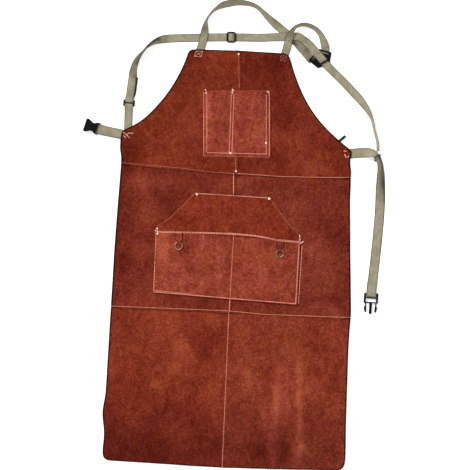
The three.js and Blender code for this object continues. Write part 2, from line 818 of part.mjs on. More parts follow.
// The socket of the buckle: the bar for the strap at x = 0, the mouth toward +X.
function socketGeometry() {
  const near = SOCKET_HALF.map(({ x, y }) => ({ x, y: -y }));
  const body = block(corners([...near, ...SOCKET_HALF.toReversed()]), 0, SOCKET_TOP);
  const { end, half, slotEnd, slotHalf } = SOCKET_FRAME;
  const slot = rectangle(BAR / 2, -slotHalf, slotEnd, slotHalf);
  const frame = plate(rectangle(-BAR / 2, -half, end, half), [slot], BAR_BOTTOM, BAR_TOP);
  const { from, to, half: reach, bottom, top } = SOCKET_CAVITY;
  const cavity = block(rectangle(from, -reach, to, reach), bottom, top);
  return fromSolid(toSolid(unite([body, frame])).subtract(toSolid(cavity)));
}

// The plug of the buckle: the bar for the strap at x = 0, three prongs toward +X.
function plugGeometry() {
  const rearSlot = rectangle(BAR / 2, -PLUG_REAR.slotHalf, PLUG_REAR.slotEnd, PLUG_REAR.slotHalf);
  const rearOutline = rectangle(-BAR / 2, -PLUG_HALF, PLUG_REAR.end, PLUG_HALF);
  const rear = plate(rearOutline, [rearSlot], BAR_BOTTOM, BAR_TOP);
  const { from, to, slotFrom, slotTo, slotHalf, top } = PLUG_BASE;
  const baseSlot = rectangle(slotFrom, -slotHalf, slotTo, slotHalf);
  const base = plate(rectangle(from, -PLUG_HALF, to, PLUG_HALF), [baseSlot], 0, top);
  const mirrored = PLUG_ARM.map(({ x, y }) => ({ x, y: -y }));
  const guide = rectangle(PLUG_GUIDE.from, -PLUG_GUIDE.half, PLUG_GUIDE.to, PLUG_GUIDE.half);
  const prongs = [corners(PLUG_ARM.toReversed()), corners(mirrored), guide].map((outline) => {
    return block(outline, PLUG_PRONGS.bottom, PLUG_PRONGS.top);
  });
  return unite([rear, base, ...prongs]);
}

// A plastic ring round the tilted waist strap, its window across the strap.
function waistRingGeometry() {
  const { side, gap, wall, length } = WAIST_RING_SIZE;
  const [halfX, halfY] = [WAIST_WIDTH / 2 + side, WEBBING / 2 + gap];
  const outline = rounded(halfX + wall, halfY + wall, halfY + wall - CORNER_EDGE);
  return plate(outline, [rounded(halfX, halfY, halfY - CORNER_EDGE)], -length / 2, length / 2);
}

// A leather tab folded round a ring: a double strip and a narrow eye, from y = 0 down to -Y.
function ringTabGeometry() {
  const turn = new THREE.Matrix4().makeBasis(
    new THREE.Vector3(0, 1, 0),
    new THREE.Vector3(0, 0, 1),
    new THREE.Vector3(1, 0, 0),
  );
  const upright = (shape, width) => {
    const settings = { depth: width, bevelEnabled: false, curveSegments: 14 };
    const geometry = new THREE.ExtrudeGeometry(shape, settings);
    return geometry.applyMatrix4(turn).translate(-width / 2, 0, 0);
  };
  const strip = new THREE.Shape(rectangle(-TAB_LENGTH + EYE_RADIUS + 2, 0, TAB_HEAD, TAB_THICK));
  const eye = new THREE.Shape();
  const reach = Math.sqrt(EYE_RADIUS ** 2 - (EYE_RADIUS - TAB_THICK) ** 2);
  eye.moveTo(-TAB_LENGTH, 0);
  eye.lineTo(-TAB_LENGTH + EYE_RADIUS + 4, 0);
  eye.lineTo(-TAB_LENGTH + EYE_RADIUS + 4, TAB_THICK);
  eye.lineTo(-TAB_LENGTH + reach, TAB_THICK);
  const start = Math.atan2(TAB_THICK - EYE_RADIUS, reach);
  eye.absarc(-TAB_LENGTH, EYE_RADIUS, EYE_RADIUS, start, 1.5 * Math.PI, false);
  const hole = new THREE.Path();
  hole.absarc(-TAB_LENGTH, EYE_RADIUS, EYE_HOLE, 0, 2 * Math.PI, true);
  eye.holes.push(hole);
  return unite([upright(strip, TAB_WIDTH), upright(eye, EYE_WIDTH)]);
}

function material(colour, roughness, metalness = 0) {
  return new THREE.MeshStandardMaterial({ color: colour, roughness, metalness });
}

const apron = new THREE.Group();

function addMesh(name, geometry, look, parent = apron) {
  const mesh = new THREE.Mesh(geometry, look);
  mesh.name = name;
  parent.add(mesh);
  return mesh;
}

function placeAt(mesh, spot, z = 0) {
  mesh.position.set(spot.x, spot.y, z);
  mesh.rotation.z = THREE.MathUtils.degToRad(spot.heading);
}

function addPanels() {
  const bib = panelSections(null, BIB_SECTIONS, BIB_SEAM);
  const waist = panelSections(BIB_SEAM, WAIST_SECTIONS, WAIST_SEAM);
  const skirt = panelSections(WAIST_SEAM, SKIRT_SECTIONS, null);
  addMesh('bib_left', panel(bib, -1, true, 8), material(0x7b3020, 0.9));
  addMesh('bib_right', panel(bib, 1, false, 8), material(0x6b2618, 0.9));
  addMesh('waist_left', panel(waist, -1, true, 8), material(0x752d1f, 0.9));
  addMesh('waist_right', panel(waist, 1, false, 8), material(0x793122, 0.9));
  addMesh('skirt_left', panel(skirt, -1, false, 13), material(0x73291b, 0.9));
  addMesh('skirt_right', panel(skirt, 1, true, 13), material(0x7c3223, 0.9));
}

function addPockets() {
  addMesh('chest_pocket', sheet(chestPocketRows(), LEATHER), material(0x944032, 0.9));
  addMesh('hand_pocket', sheet(handPocketRows(), LEATHER), material(0x843220, 0.9));
  const toolRows = toolPocketRows();
  addMesh('tool_pocket', sheet(toolRows, LEATHER), material(0x94402e, 0.9));
  for (const { name, x, y } of RING_TABS) {
    const top = (dx, dy) => heightAt(toolRows, x + dx, y + dy) + LEATHER;
    const { near, middle, far, lift } = TAB_SEAT;
    const across = (top(TAB_WIDTH / 2, -middle) - top(-TAB_WIDTH / 2, -middle)) / TAB_WIDTH;
    const along = (top(0, -near) - top(0, -far)) / (far - near);
    const height = Math.max(top(0, -near) + near * along, top(0, -middle) + middle * along);
    const seat = new THREE.Group();
    seat.position.set(x, y, height + lift);
    seat.rotation.set(Math.atan(along), -Math.atan(across), 0);
    apron.add(seat);
    addMesh(`ring_tab_${name}`, ringTabGeometry(), material(0x7a3424, 0.85), seat);
    const ring = new THREE.TorusGeometry(RING_RADIUS, RING_WIRE, 6, 20);
    const ringMesh = addMesh(`ring_${name}`, ring, material(0xd9d4c6, 0.25, 0.9), seat);
    const dip = Math.asin((EYE_RADIUS - RING_WIRE - 0.2) / (2 * RING_RADIUS));
    ringMesh.rotation.x = dip;
    const hang = RING_RADIUS * Math.cos(dip) - 0.58;
    ringMesh.position.set(0, -TAB_LENGTH - hang, EYE_RADIUS - RING_RADIUS * Math.sin(dip));
  }
}

function addStraps() {
  const webbing = material(0xa09b84, 0.85);
  const loop = (tail, bar, slack, main, width) => {
    return strap([...tail, ...loopRows(bar, 0, slack), ...main], width);
  };
  const sliderLoop = (tail, heading, main) => {
    const rows = loopRows({ ...SIDE_SLIDER, heading }, -SLIDER_BARS, SLIDER_SLACK);
    return strap([...tail, ...rows, ...main], SHOULDER_WIDTH);
  };
  addMesh('shoulder_strap_left', strap(SHOULDER_LEFT_ROUTE, SHOULDER_WIDTH), webbing);
  addMesh('shoulder_strap_right', strap(SHOULDER_RIGHT_ROUTE, SHOULDER_WIDTH), webbing.clone());
  const neckMain = [...NECK_ROUTE, ...rowsAlong(NECK_SLIDER, NECK_END)];
  const neck = sliderLoop(NECK_TAIL_ROUTE, SIDE_SLIDER.heading + 180, neckMain);
  addMesh('neck_strap', neck, webbing.clone());
  const backRoute = [...rowsAlong(NECK_SLIDER, NECK_WEAVE), ...BACK_ROUTE];
  addMesh('back_strap', strap(backRoute, SHOULDER_WIDTH), webbing.clone());
  const side = sliderLoop(SIDE_TAIL_ROUTE, SIDE_SLIDER.heading, SIDE_ROUTE);
  addMesh('side_strap', side, webbing.clone());
  const left = loop(WAIST_LEFT_TAIL_ROUTE, SOCKET, SOCKET_SLACK, WAIST_LEFT_ROUTE, WAIST_WIDTH);
  addMesh('waist_strap_left', left, webbing.clone());
  const right = loop(WAIST_RIGHT_TAIL_ROUTE, PLUG, PLUG_SLACK, WAIST_RIGHT_ROUTE, WAIST_WIDTH);
  addMesh('waist_strap_right', right, webbing.clone());
  addMesh('edge_tab', strap(EDGE_TAB_ROUTE, EDGE_TAB_WIDTH), material(0x1c1a19, 0.8));
}

function addPlastic() {
  const black = material(0x222222, 0.45);
  addMesh('back_keeper', keeperGeometry(), black);
  placeAt(addMesh('neck_slider', sliderPlate(NECK_SLIDER_SIZE), black.clone()), NECK_SLIDER);
  placeAt(addMesh('side_slider', sliderPlate(SIDE_SLIDER_SIZE), black.clone()), SIDE_SLIDER);
  placeAt(addMesh('buckle_socket', socketGeometry(), black.clone()), SOCKET);
  placeAt(addMesh('buckle_plug', plugGeometry(), black.clone()), PLUG);
  hangRing(addMesh('waist_ring', waistRingGeometry(), black.clone()));
}

// The waist ring's place round the tilted strap: its long side across the strap, its short side leaning.
function hangRing(ring) {
  const { x, y, base, hang } = WAIST_RING;
  const [heading, tilt, lean] = ['heading', 'tilt', 'lean'].map((key) => {
    return THREE.MathUtils.degToRad(WAIST_RING[key]);
  });
  const along = new THREE.Vector3(Math.cos(heading), Math.sin(heading), 0);
  const wide = new THREE.Vector3(-along.y * Math.cos(tilt), along.x * Math.cos(tilt), Math.sin(tilt));
  const face = new THREE.Vector3().crossVectors(along, wide);
  const short = face.multiplyScalar(Math.cos(lean)).addScaledVector(along, Math.sin(lean));
  const through = new THREE.Vector3().crossVectors(wide, short);
  ring.quaternion.setFromRotationMatrix(new THREE.Matrix4().makeBasis(wide, short, through));
  const middle = base + 0.5 * (WAIST_WIDTH * Math.sin(tilt) + WEBBING * Math.cos(tilt));
  ring.position.set(x, y, middle).addScaledVector(short, -hang);
}

addPanels();
addPockets();
addStraps();
addPlastic();
apron.position.set(BOX_SHIFT.x, BOX_SHIFT.y, 0);

export default apron;
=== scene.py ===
"""The looks of the leather welding apron: suede, webbing, thread, plastic, floor, light and camera."""

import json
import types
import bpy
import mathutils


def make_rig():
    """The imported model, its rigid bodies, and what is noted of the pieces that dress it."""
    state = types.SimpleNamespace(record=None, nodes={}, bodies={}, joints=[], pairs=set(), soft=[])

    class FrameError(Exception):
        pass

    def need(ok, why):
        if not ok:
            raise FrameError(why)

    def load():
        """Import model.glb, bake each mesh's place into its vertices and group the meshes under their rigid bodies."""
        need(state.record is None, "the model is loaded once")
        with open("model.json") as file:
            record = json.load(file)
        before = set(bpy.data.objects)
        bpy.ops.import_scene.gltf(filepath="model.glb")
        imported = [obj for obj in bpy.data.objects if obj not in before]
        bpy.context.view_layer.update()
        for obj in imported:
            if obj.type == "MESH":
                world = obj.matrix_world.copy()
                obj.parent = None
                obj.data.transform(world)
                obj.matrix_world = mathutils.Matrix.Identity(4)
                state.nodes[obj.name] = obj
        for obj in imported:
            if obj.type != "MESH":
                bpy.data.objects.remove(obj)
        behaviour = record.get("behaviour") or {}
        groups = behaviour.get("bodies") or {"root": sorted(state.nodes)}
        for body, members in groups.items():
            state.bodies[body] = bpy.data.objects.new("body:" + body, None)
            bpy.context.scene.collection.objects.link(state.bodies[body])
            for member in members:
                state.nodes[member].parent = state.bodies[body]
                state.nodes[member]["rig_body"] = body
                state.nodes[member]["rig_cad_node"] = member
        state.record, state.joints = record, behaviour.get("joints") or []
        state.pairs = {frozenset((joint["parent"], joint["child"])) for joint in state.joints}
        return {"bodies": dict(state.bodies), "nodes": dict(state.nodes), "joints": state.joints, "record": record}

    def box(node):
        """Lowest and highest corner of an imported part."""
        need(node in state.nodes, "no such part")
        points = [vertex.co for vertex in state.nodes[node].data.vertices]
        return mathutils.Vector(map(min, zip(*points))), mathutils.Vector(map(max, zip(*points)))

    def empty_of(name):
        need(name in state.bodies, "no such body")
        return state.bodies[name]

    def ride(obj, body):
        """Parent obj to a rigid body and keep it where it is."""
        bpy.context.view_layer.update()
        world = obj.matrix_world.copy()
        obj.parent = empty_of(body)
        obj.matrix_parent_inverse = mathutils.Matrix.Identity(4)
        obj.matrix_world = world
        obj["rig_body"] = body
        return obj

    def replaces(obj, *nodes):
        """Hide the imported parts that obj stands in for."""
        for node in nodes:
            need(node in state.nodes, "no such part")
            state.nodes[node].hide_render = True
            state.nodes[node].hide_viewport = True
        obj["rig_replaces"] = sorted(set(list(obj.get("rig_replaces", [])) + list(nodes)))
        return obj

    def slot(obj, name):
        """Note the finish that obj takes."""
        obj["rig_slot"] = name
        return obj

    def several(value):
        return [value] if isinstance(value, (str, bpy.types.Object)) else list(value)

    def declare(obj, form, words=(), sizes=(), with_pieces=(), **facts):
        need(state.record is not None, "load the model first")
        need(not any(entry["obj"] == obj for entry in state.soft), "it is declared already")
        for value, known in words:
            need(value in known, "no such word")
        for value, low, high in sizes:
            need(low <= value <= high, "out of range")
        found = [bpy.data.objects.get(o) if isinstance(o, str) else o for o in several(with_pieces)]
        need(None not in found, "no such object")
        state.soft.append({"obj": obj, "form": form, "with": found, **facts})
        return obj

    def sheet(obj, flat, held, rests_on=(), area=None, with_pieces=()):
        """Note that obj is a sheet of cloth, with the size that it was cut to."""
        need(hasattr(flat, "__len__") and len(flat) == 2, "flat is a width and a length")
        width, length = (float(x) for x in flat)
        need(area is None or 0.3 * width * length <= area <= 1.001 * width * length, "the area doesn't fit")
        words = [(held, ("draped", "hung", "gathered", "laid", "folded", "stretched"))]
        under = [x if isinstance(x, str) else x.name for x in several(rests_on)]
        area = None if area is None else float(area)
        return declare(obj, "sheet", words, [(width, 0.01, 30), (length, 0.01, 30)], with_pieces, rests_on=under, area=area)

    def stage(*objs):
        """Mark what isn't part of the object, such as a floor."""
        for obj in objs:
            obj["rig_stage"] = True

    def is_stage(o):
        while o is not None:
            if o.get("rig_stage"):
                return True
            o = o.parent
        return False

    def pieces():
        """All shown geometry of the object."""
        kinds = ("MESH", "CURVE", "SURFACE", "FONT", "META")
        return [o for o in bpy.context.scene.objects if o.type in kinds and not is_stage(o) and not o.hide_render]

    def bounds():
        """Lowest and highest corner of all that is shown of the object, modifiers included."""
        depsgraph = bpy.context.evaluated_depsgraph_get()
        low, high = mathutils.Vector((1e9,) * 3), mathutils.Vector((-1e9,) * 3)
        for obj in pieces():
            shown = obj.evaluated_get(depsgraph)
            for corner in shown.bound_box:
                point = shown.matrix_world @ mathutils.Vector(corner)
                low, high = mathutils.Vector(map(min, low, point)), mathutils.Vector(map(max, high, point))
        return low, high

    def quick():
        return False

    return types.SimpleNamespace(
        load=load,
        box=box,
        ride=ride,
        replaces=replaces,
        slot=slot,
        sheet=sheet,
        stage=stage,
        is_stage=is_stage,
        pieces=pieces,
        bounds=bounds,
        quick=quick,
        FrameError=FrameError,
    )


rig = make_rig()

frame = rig.load()

import json
import math
from itertools import permutations

import bmesh
import bpy
import numpy as np
from mathutils import Vector, noise
from mathutils.bvhtree import BVHTree

CAD_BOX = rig.bounds()
NODES = frame["nodes"]
MM = 0.001
UP = Vector((0, 0, 1))
DOWN = Vector((0, 0, -1))

# Vertices nearer than this, in metres, are one; and a height over the apron from which rays go down.
SAME_PLACE = 1e-6
RAY_HEIGHT = 1

# Photograph: a square picture from straight above, turned a little against the apron.
PHOTO_SIDE = 470
PIXEL = 2.566 * MM
PHOTO_TURN = math.radians(2.45)
PHOTO_MIDDLE = Vector((9.85 * MM, -2.2 * MM))
LENS = 100
SENSOR = 36

# Light: how bright the sky, the key and the fill each show a white floor, and all together; where the
# two suns stand, and how wide they look.
SKY = 0.52
KEY = 0.56
FILL = 0.14
LIT = SKY + KEY + FILL
KEY_PLACE = Vector((-2.2, 1.9, 2.3))
FILL_PLACE = Vector((1.9, -0.9, 3))
KEY_ANGLE = math.radians(16)
FILL_ANGLE = math.radians(60)

# Floor: half its side in metres, and its height, just under the lowest piece.
FLOOR_HALF = 8
FLOOR_HEIGHT = -0.3 * MM

# CAD nodes by kind, and what each pocket lies on.
PANELS = ("bib_left", "bib_right", "waist_left", "waist_right", "skirt_left", "skirt_right")
STRAPS = (
    "shoulder_strap_left",
    "shoulder_strap_right",
    "side_strap",
    "waist_strap_left",
    "waist_strap_right",
)
PLASTICS = ("back_keeper", "neck_slider", "side_slider", "buckle_socket", "buckle_plug", "waist_ring")
RING_TABS = ("ring_tab_left", "ring_tab_right")
RINGS = ("ring_left", "ring_right")
RESTS_ON = {"chest_pocket": ["bib_left"], "hand_pocket": ["waist_left"], "tool_pocket": ["hand_pocket"]}

# Firm pieces: how flat faces are to be joined, how sharp edges are to be rounded, and by how much.
FLAT_ANGLE = math.radians(2)
SHARP_ANGLE = math.radians(30)
BEVEL = 0.55 * MM
BEVEL_STEPS = 3
TAB_BEVEL = 0.5 * MM
# The width of the dark rim along the ring tabs' long sides: their cut edge, with painted shade.
TAB_EDGE_AND_SHADE_RIM = 1.5 * MM
# How much fuller the sliders are than their solids, which leave room for the strap all round.
FULLER = {"neck_slider": 0.35 * MM, "side_slider": 0.3 * MM}
# Sides of the ring's circle and of its wire.
RING_SIDES = 56
WIRE_SIDES = 16

# Leather sheets: the width of the rim, how far past an edge other panels are looked for, the crease
# of the edges, and how upright a face's normal is where the face counts as lying flat.
RIM = 5 * MM
RIM_PROBE = 4 * MM
EDGE_CREASE = 0.8
FLAT_NORMAL = 0.4
# How much two triangles may bend and skew to be joined, and the levels of the smoothing.
JOINED_FACES = math.radians(40)
JOINED_SHAPE = math.radians(60)
SMOOTH_LEVELS = 3
QUICK_LEVELS = 1

# Swelling of the leather: waves to a metre, and height.
SWELLS = ((7, 0.7 * MM), (19, 0.45 * MM), (48, 0.2 * MM))

# Ridges of the leather: middle and half size in pixels of the photograph, and height.
RIDGES = (
    (277, 402, 5, 24, 2.6 * MM),
    (300, 408, 4, 42, 2.8 * MM),
    (271, 455, 6, 14, 2.4 * MM),
    (300, 456, 5, 13, 2.2 * MM),
    (248, 379, 5, 15, 1.8 * MM),
    (176, 356, 7, 20, 2.0 * MM),
    (135, 395, 5, 34, 1.8 * MM),
    (205, 415, 4, 30, 1.4 * MM),
    (161, 250, 5, 18, 1.2 * MM),
)

# How a hide's mottling, of 0 to 1, multiplies its red, green and blue.
HIDE_TONES = (
    (0.3, 0.34, 0.17, 0.14),
    (0.41, 0.54, 0.36, 0.32),
    (0.5, 1, 1, 1),
    (0.6, 1.65, 2.35, 2.7),
    (0.72, 2.3, 3.9, 4.8),
)
# What the cooler and the warmer places of a hide multiply its colour by.
COOL_TINT = (1.0, 0.96, 1.14, 1)
WARM_TINT = (1.0, 1.05, 0.86, 1)
# How far one count of its seed moves a hide's noise, and how its streaks are drawn out.
SEED_STEP = (0.73, 1.31, 0.47)
STREAK_SCALE = (1.25, 0.75, 1)
# The relief of the nap against the grain's.
NAP_RELIEF = 0.4
# The rim's colour, of the leather's dark cut edge with painted shade along it, how ragged it is,
# and the values between which it ends.
RIM_EDGE_AND_SHADE_COLOUR = (34, 14, 9)
RIM_RAGGED = 0.5
RIM_FADE = (0.42, 0.85)
# How ragged a hem's colour begins, and the heights along the apron, in metres, where it fades in.
HEM_RAGGED = 0.14
HEM_FADE = (-0.3, -0.5)

# Webbing: narrower than this, it is declared with the sheet that it is sewn to.
LEAST_SHEET = 10 * MM
# The step along a strap, the sides of its section and the powers that flatten the section.
STRAP_STEP = 2.6 * MM
STRAP_SIDES = 18
ACROSS_POWER = 0.3
THROUGH_POWER = 0.7
STRAP_CORNERS = 4
LEAST_SPAN = 1e-7
# The weave: the pitch of its ribs and of its warp, where the ribs turn back, and the warp's relief.
RIB_PITCH = 1.5 * MM
WARP_PITCH = 1.3 * MM
RIB_TURN = 2.6 * MM
WARP_RELIEF = 0.45
# The selvage: where its painted shade ends, of 0 at the edge to 1 in the middle, and how dark it is.
SELVAGE_END = 0.28
SELVAGE_PAINTED_SHADE = 0.26
# The colour of the painted shade on the webbing.
PAINTED_SHADE_COLOUR = (30, 28, 21)

# Thread: a round thread shows darker than a flat face, so its colour is raised.
THREAD_GAIN = 1.2
# The most of its pitch that a stitch fills, and each kind of stitch.
STITCH_SHARE = 0.94
SEAM_STITCH = {"length": 3.6 * MM, "pitch": 3.9 * MM, "radius": 0.8 * MM}
CHEST_STITCH = {"length": 4.4 * MM, "pitch": 4.8 * MM, "radius": 0.85 * MM}
POCKET_STITCH = {"length": 3.8 * MM, "pitch": 4.1 * MM, "radius": 1.05 * MM}
FINE_STITCH = {"length": 3.8 * MM, "pitch": 4.4 * MM, "radius": 0.5 * MM}
TACK_STITCH = {"length": 4.2 * MM, "pitch": 4.6 * MM, "radius": 0.45 * MM}
CORNER_STITCH = {"length": 5 * MM, "pitch": 5.2 * MM, "radius": 1.1 * MM}
BAR_STITCH = {"length": 8 * MM, "pitch": 7 * MM, "radius": 1.45 * MM}
# A stitch's sections: the share of its length, and girth and lift in radii.
STITCH_ROWS = ((0, 0.45, -0.9), (0.14, 0.9, 0.1), (0.5, 1, 0.45), (0.86, 0.9, 0.1), (1, 0.45, -0.9))
STITCH_SIDES = 6
# A knot: its radius, its height against its width, and how lumpy it is.
KNOT_RADIUS = 2.5 * MM
KNOT_HEIGHT = 0.55
KNOT_LUMPS = 0.22
KNOT_GRAIN = 1400
KNOT_SHIFT = 90

# Lines of stitches, as pixels of the photograph along each line.
SEAM_LINES = (
    ((236, 173.4), (280, 176.6), (320, 177.5), (349, 177.5)),
    ((112, 306), (228, 310.7)),
    ((229.5, 310.8), (263.6, 314.3), (349.4, 317.4)),
    ((229, 311), (222.2, 467)),
    ((233.6, 234.6), (230.1, 297)),
    ((154.6, 290.4), (189, 293.6)),
)
CHEST_LINES = (
    ((203.7, 92), (203.7, 155.9), (269.4, 157.5), (269.4, 93)),
    ((206.9, 94), (206.9, 152.7), (266.2, 154.3), (266.2, 95)),
    ((231.5, 95), (229.2, 153)),
    ((234, 95), (232, 153)),
)
POCKET_LINES = (
    ((196.2, 193.5), (269.7, 198.1)),
    ((156.4, 228), (153.8, 291.7), (230.1, 298.3), (295.6, 303.7), (299.4, 237)),
    ((158.4, 231.4), (233.6, 233.4), (254.8, 235.4), (276.6, 239.5), (299.6, 241.7)),
    # A second row just under the first thickens the tool pocket's top line where its folded edge catches the light:
    # painted highlight.
    ((159.4, 232.3), (233.6, 234.3), (254.8, 236.3), (276.6, 240.4), (298.6, 242.6)),
    ((230, 298.6), (229.3, 311)),
    ((302, 246), (298.4, 303.7)),
    ((233.6, 173.5), (233.6, 194)),
)
FINE_LINES = (
    ((122.5, 163), (180, 168), (213, 172.3), (234, 173.4)),
    ((238.7, 54), (239.2, 89)),
    ((236, 158), (235.5, 170)),
    ((194, 194.4), (183.6, 204.4), (169.8, 218.2), (157.2, 226.3)),
    ((271.4, 200.4), (282.3, 215.9), (290.4, 226.3), (298.4, 234.3)),
)
LEFT_TACK_LINES = (
    ((196.4, 51.2), (202.6, 51.4), (201.4, 57), (194.4, 56.6), (196.4, 51.2), (201.4, 57)),
    ((202.6, 51.4), (194.4, 56.6)),
)
RIGHT_TACK_LINES = (
    ((280.6, 55.8), (286.4, 56.2), (285.6, 62), (280.2, 60.6), (280.6, 55.8), (285.6, 62)),
    ((286.4, 56.2), (280.2, 60.6)),
)
CORNER_LINES = (
    ((123.6, 132.3), (126.8, 135.4), (130, 138.2)),
    ((126.8, 135.4), (129, 133.1), (133.4, 133.6)),
    ((123.4, 135.8), (126.2, 138)),
    ((343.6, 151), (346.6, 151.6)),
    ((344.4, 154.4), (346.2, 158)),
    ((347.4, 158), (348.8, 155.8)),
)
BAR_LINES = (
    ((205, 89.4), (206.4, 91)),
    ((205.2, 93), (207, 92.6), (205.4, 94.4)),
    ((231.6, 89), (233.8, 90.6), (231.8, 92.4), (233, 94.4)),
    ((266.2, 92), (269, 91.6), (268.4, 94)),
    ((157.4, 227), (158, 233.6)),
    ((155, 230.6), (157, 230.8)),
    ((299.6, 234.6), (300, 241.4)),
    ((300, 243.6), (303.6, 241.4)),
    ((195.4, 193.2), (197.6, 194.2)),
    ((267.8, 197.6), (271, 198.8), (268.4, 199.6)),
)
# Knots, as pixels of the photograph.
KNOTS = (
    (238.7, 54.4),
    (230.5, 153.3),
    (197, 194.6),
    (269, 199),
    (157.8, 233.8),
    (300.6, 243),
    (236, 171.4),
    (266, 143),
)

# Patches of the hides, with painted highlights on the ridges of the folds and painted shade in the
# valleys between them: middle and half size in pixels of the photograph, and tone, which is above 0
# where the patch is lighter.
PATCHES_AND_PAINTED_FOLD_LIGHT = (
    (217, 124, 11, 30, -0.5),
    (250, 124, 15, 30, 0.3),
    (197, 54, 9, 8, -1.3),
    (284, 59, 8, 8, -0.9),
    (276, 75, 16, 22, -0.9),
    (246, 62, 7, 20, -0.8),
    (284, 106, 10, 22, -0.6),
    (131, 150, 9, 26, -0.8),
    (155, 146, 26, 20, 0.4),
    (190, 120, 14, 14, 0.4),
    (296, 148, 10, 9, 0.6),
    (313, 167, 16, 12, 0.5),
    (282, 166, 7, 9, -0.8),
    (343, 160, 7, 14, -0.9),
    (248, 165, 14, 7, -0.6),
    (127, 200, 10, 34, -0.8),
    (122, 256, 9, 28, -0.9),
    (336, 240, 14, 22, -0.9),
    (343, 290, 8, 24, -0.8),
    (314, 250, 12, 8, 0.6),
    (184, 220, 17, 8, -0.7),
    (150, 182, 40, 8, 1.1),
    (230, 184, 14, 8, 1.1),
    (163, 246, 11, 17, 1.0),
    (180, 262, 16, 8, 0.6),
    (168, 283, 14, 8, 0.7),
    (255, 262, 9, 16, 0.6),
    (282, 258, 10, 11, 0.8),
    (176, 355, 9, 20, 1.1),
    (154, 385, 7, 8, 0.7),
    (166, 316, 22, 9, 0.5),
    (160, 442, 52, 28, -0.7),
    (111, 430, 8, 36, -0.7),
    (290, 355, 9, 12, 0.9),
    # From here most rows lie on the right skirt's folds: painted highlights on the ridges, and painted shade in the
    # two dark valleys at the hem.
    (300, 402, 4, 44, 1.8),
    (277, 403, 5, 24, 2.2),
    (248, 378, 5, 16, 0.8),
    (262, 421, 8, 8, 0.6),
    (262, 453, 12, 15, -1.7),
    (284, 452, 7, 14, -1.7),
    (271, 452, 5, 16, 1.0),
    (300, 455, 5, 14, 0.8),
    (322, 438, 18, 28, -0.5),
)

# Painted shade on the webbing, where the straps twist, stand on edge, double back, wrap the plug's
# bar and run under one another: half the width in pixels of the photograph, the depth of 0 to 1,
# and pixels along each place.
PAINTED_SHADES = (
    (1.5, 0.95, (378.6, 153.6), (381.6, 167.3), (382.8, 178.2), (384.4, 191), (384.9, 203.6)),
    (0.9, 0.6, (384.9, 203.6), (384, 225), (381, 250)),
    (1.6, 0.95, (136.6, 76), (136.8, 84), (134.8, 97)),
    (1.4, 0.95, (147.3, 47.3), (153, 42.2), (159, 38.2)),
    (1.7, 0.6, (146, 50), (140, 58), (137, 64)),
    (0.9, 0.9, (367.5, 296.5), (376.5, 297.8)),
    (2.2, 0.95, (293.6, 42.4), (299, 45.6), (304.6, 51), (309, 57.4)),
)

# Sockets of a Mix node that mixes colours.
MIX_SHARE, MIX_FIRST, MIX_SECOND, MIX_RESULT = 0, 6, 7, 2


def from_photo(px, py):
    """The place on the floor, in metres, that a pixel of the photograph shows."""
    right, up = px - PHOTO_SIDE / 2, PHOTO_SIDE / 2 - py
    cos, sin = math.cos(PHOTO_TURN), math.sin(PHOTO_TURN)
    return PHOTO_MIDDLE + PIXEL * Vector((right * cos - up * sin, right * sin + up * cos))


def to_photo(places):
    """The pixels of the photograph that show places on the floor: two arrays, across and down."""
    x, y = ((places[:, i] - PHOTO_MIDDLE[i]) / PIXEL for i in (0, 1))
    cos, sin = math.cos(PHOTO_TURN), math.sin(PHOTO_TURN)
    return PHOTO_SIDE / 2 + x * cos + y * sin, PHOTO_SIDE / 2 + x * sin - y * cos


def seen(red, green, blue):
    """The surface colour that the studio's light shows as a picture's sRGB colour of 0 to 255."""
    def linear(value):
        value /= 255
        return value / 12.92 if value <= 0.04045 else ((value + 0.055) / 1.055) ** 2.4
    return (linear(red) / LIT, linear(green) / LIT, linear(blue) / LIT, 1)


def scaled(colour, *shares):
    """A colour with its three values multiplied by one share, or each by its own."""
    shares = shares if len(shares) == 3 else shares * 3
    return (*(min(1, c * s) for c, s in zip(colour, shares)), 1)


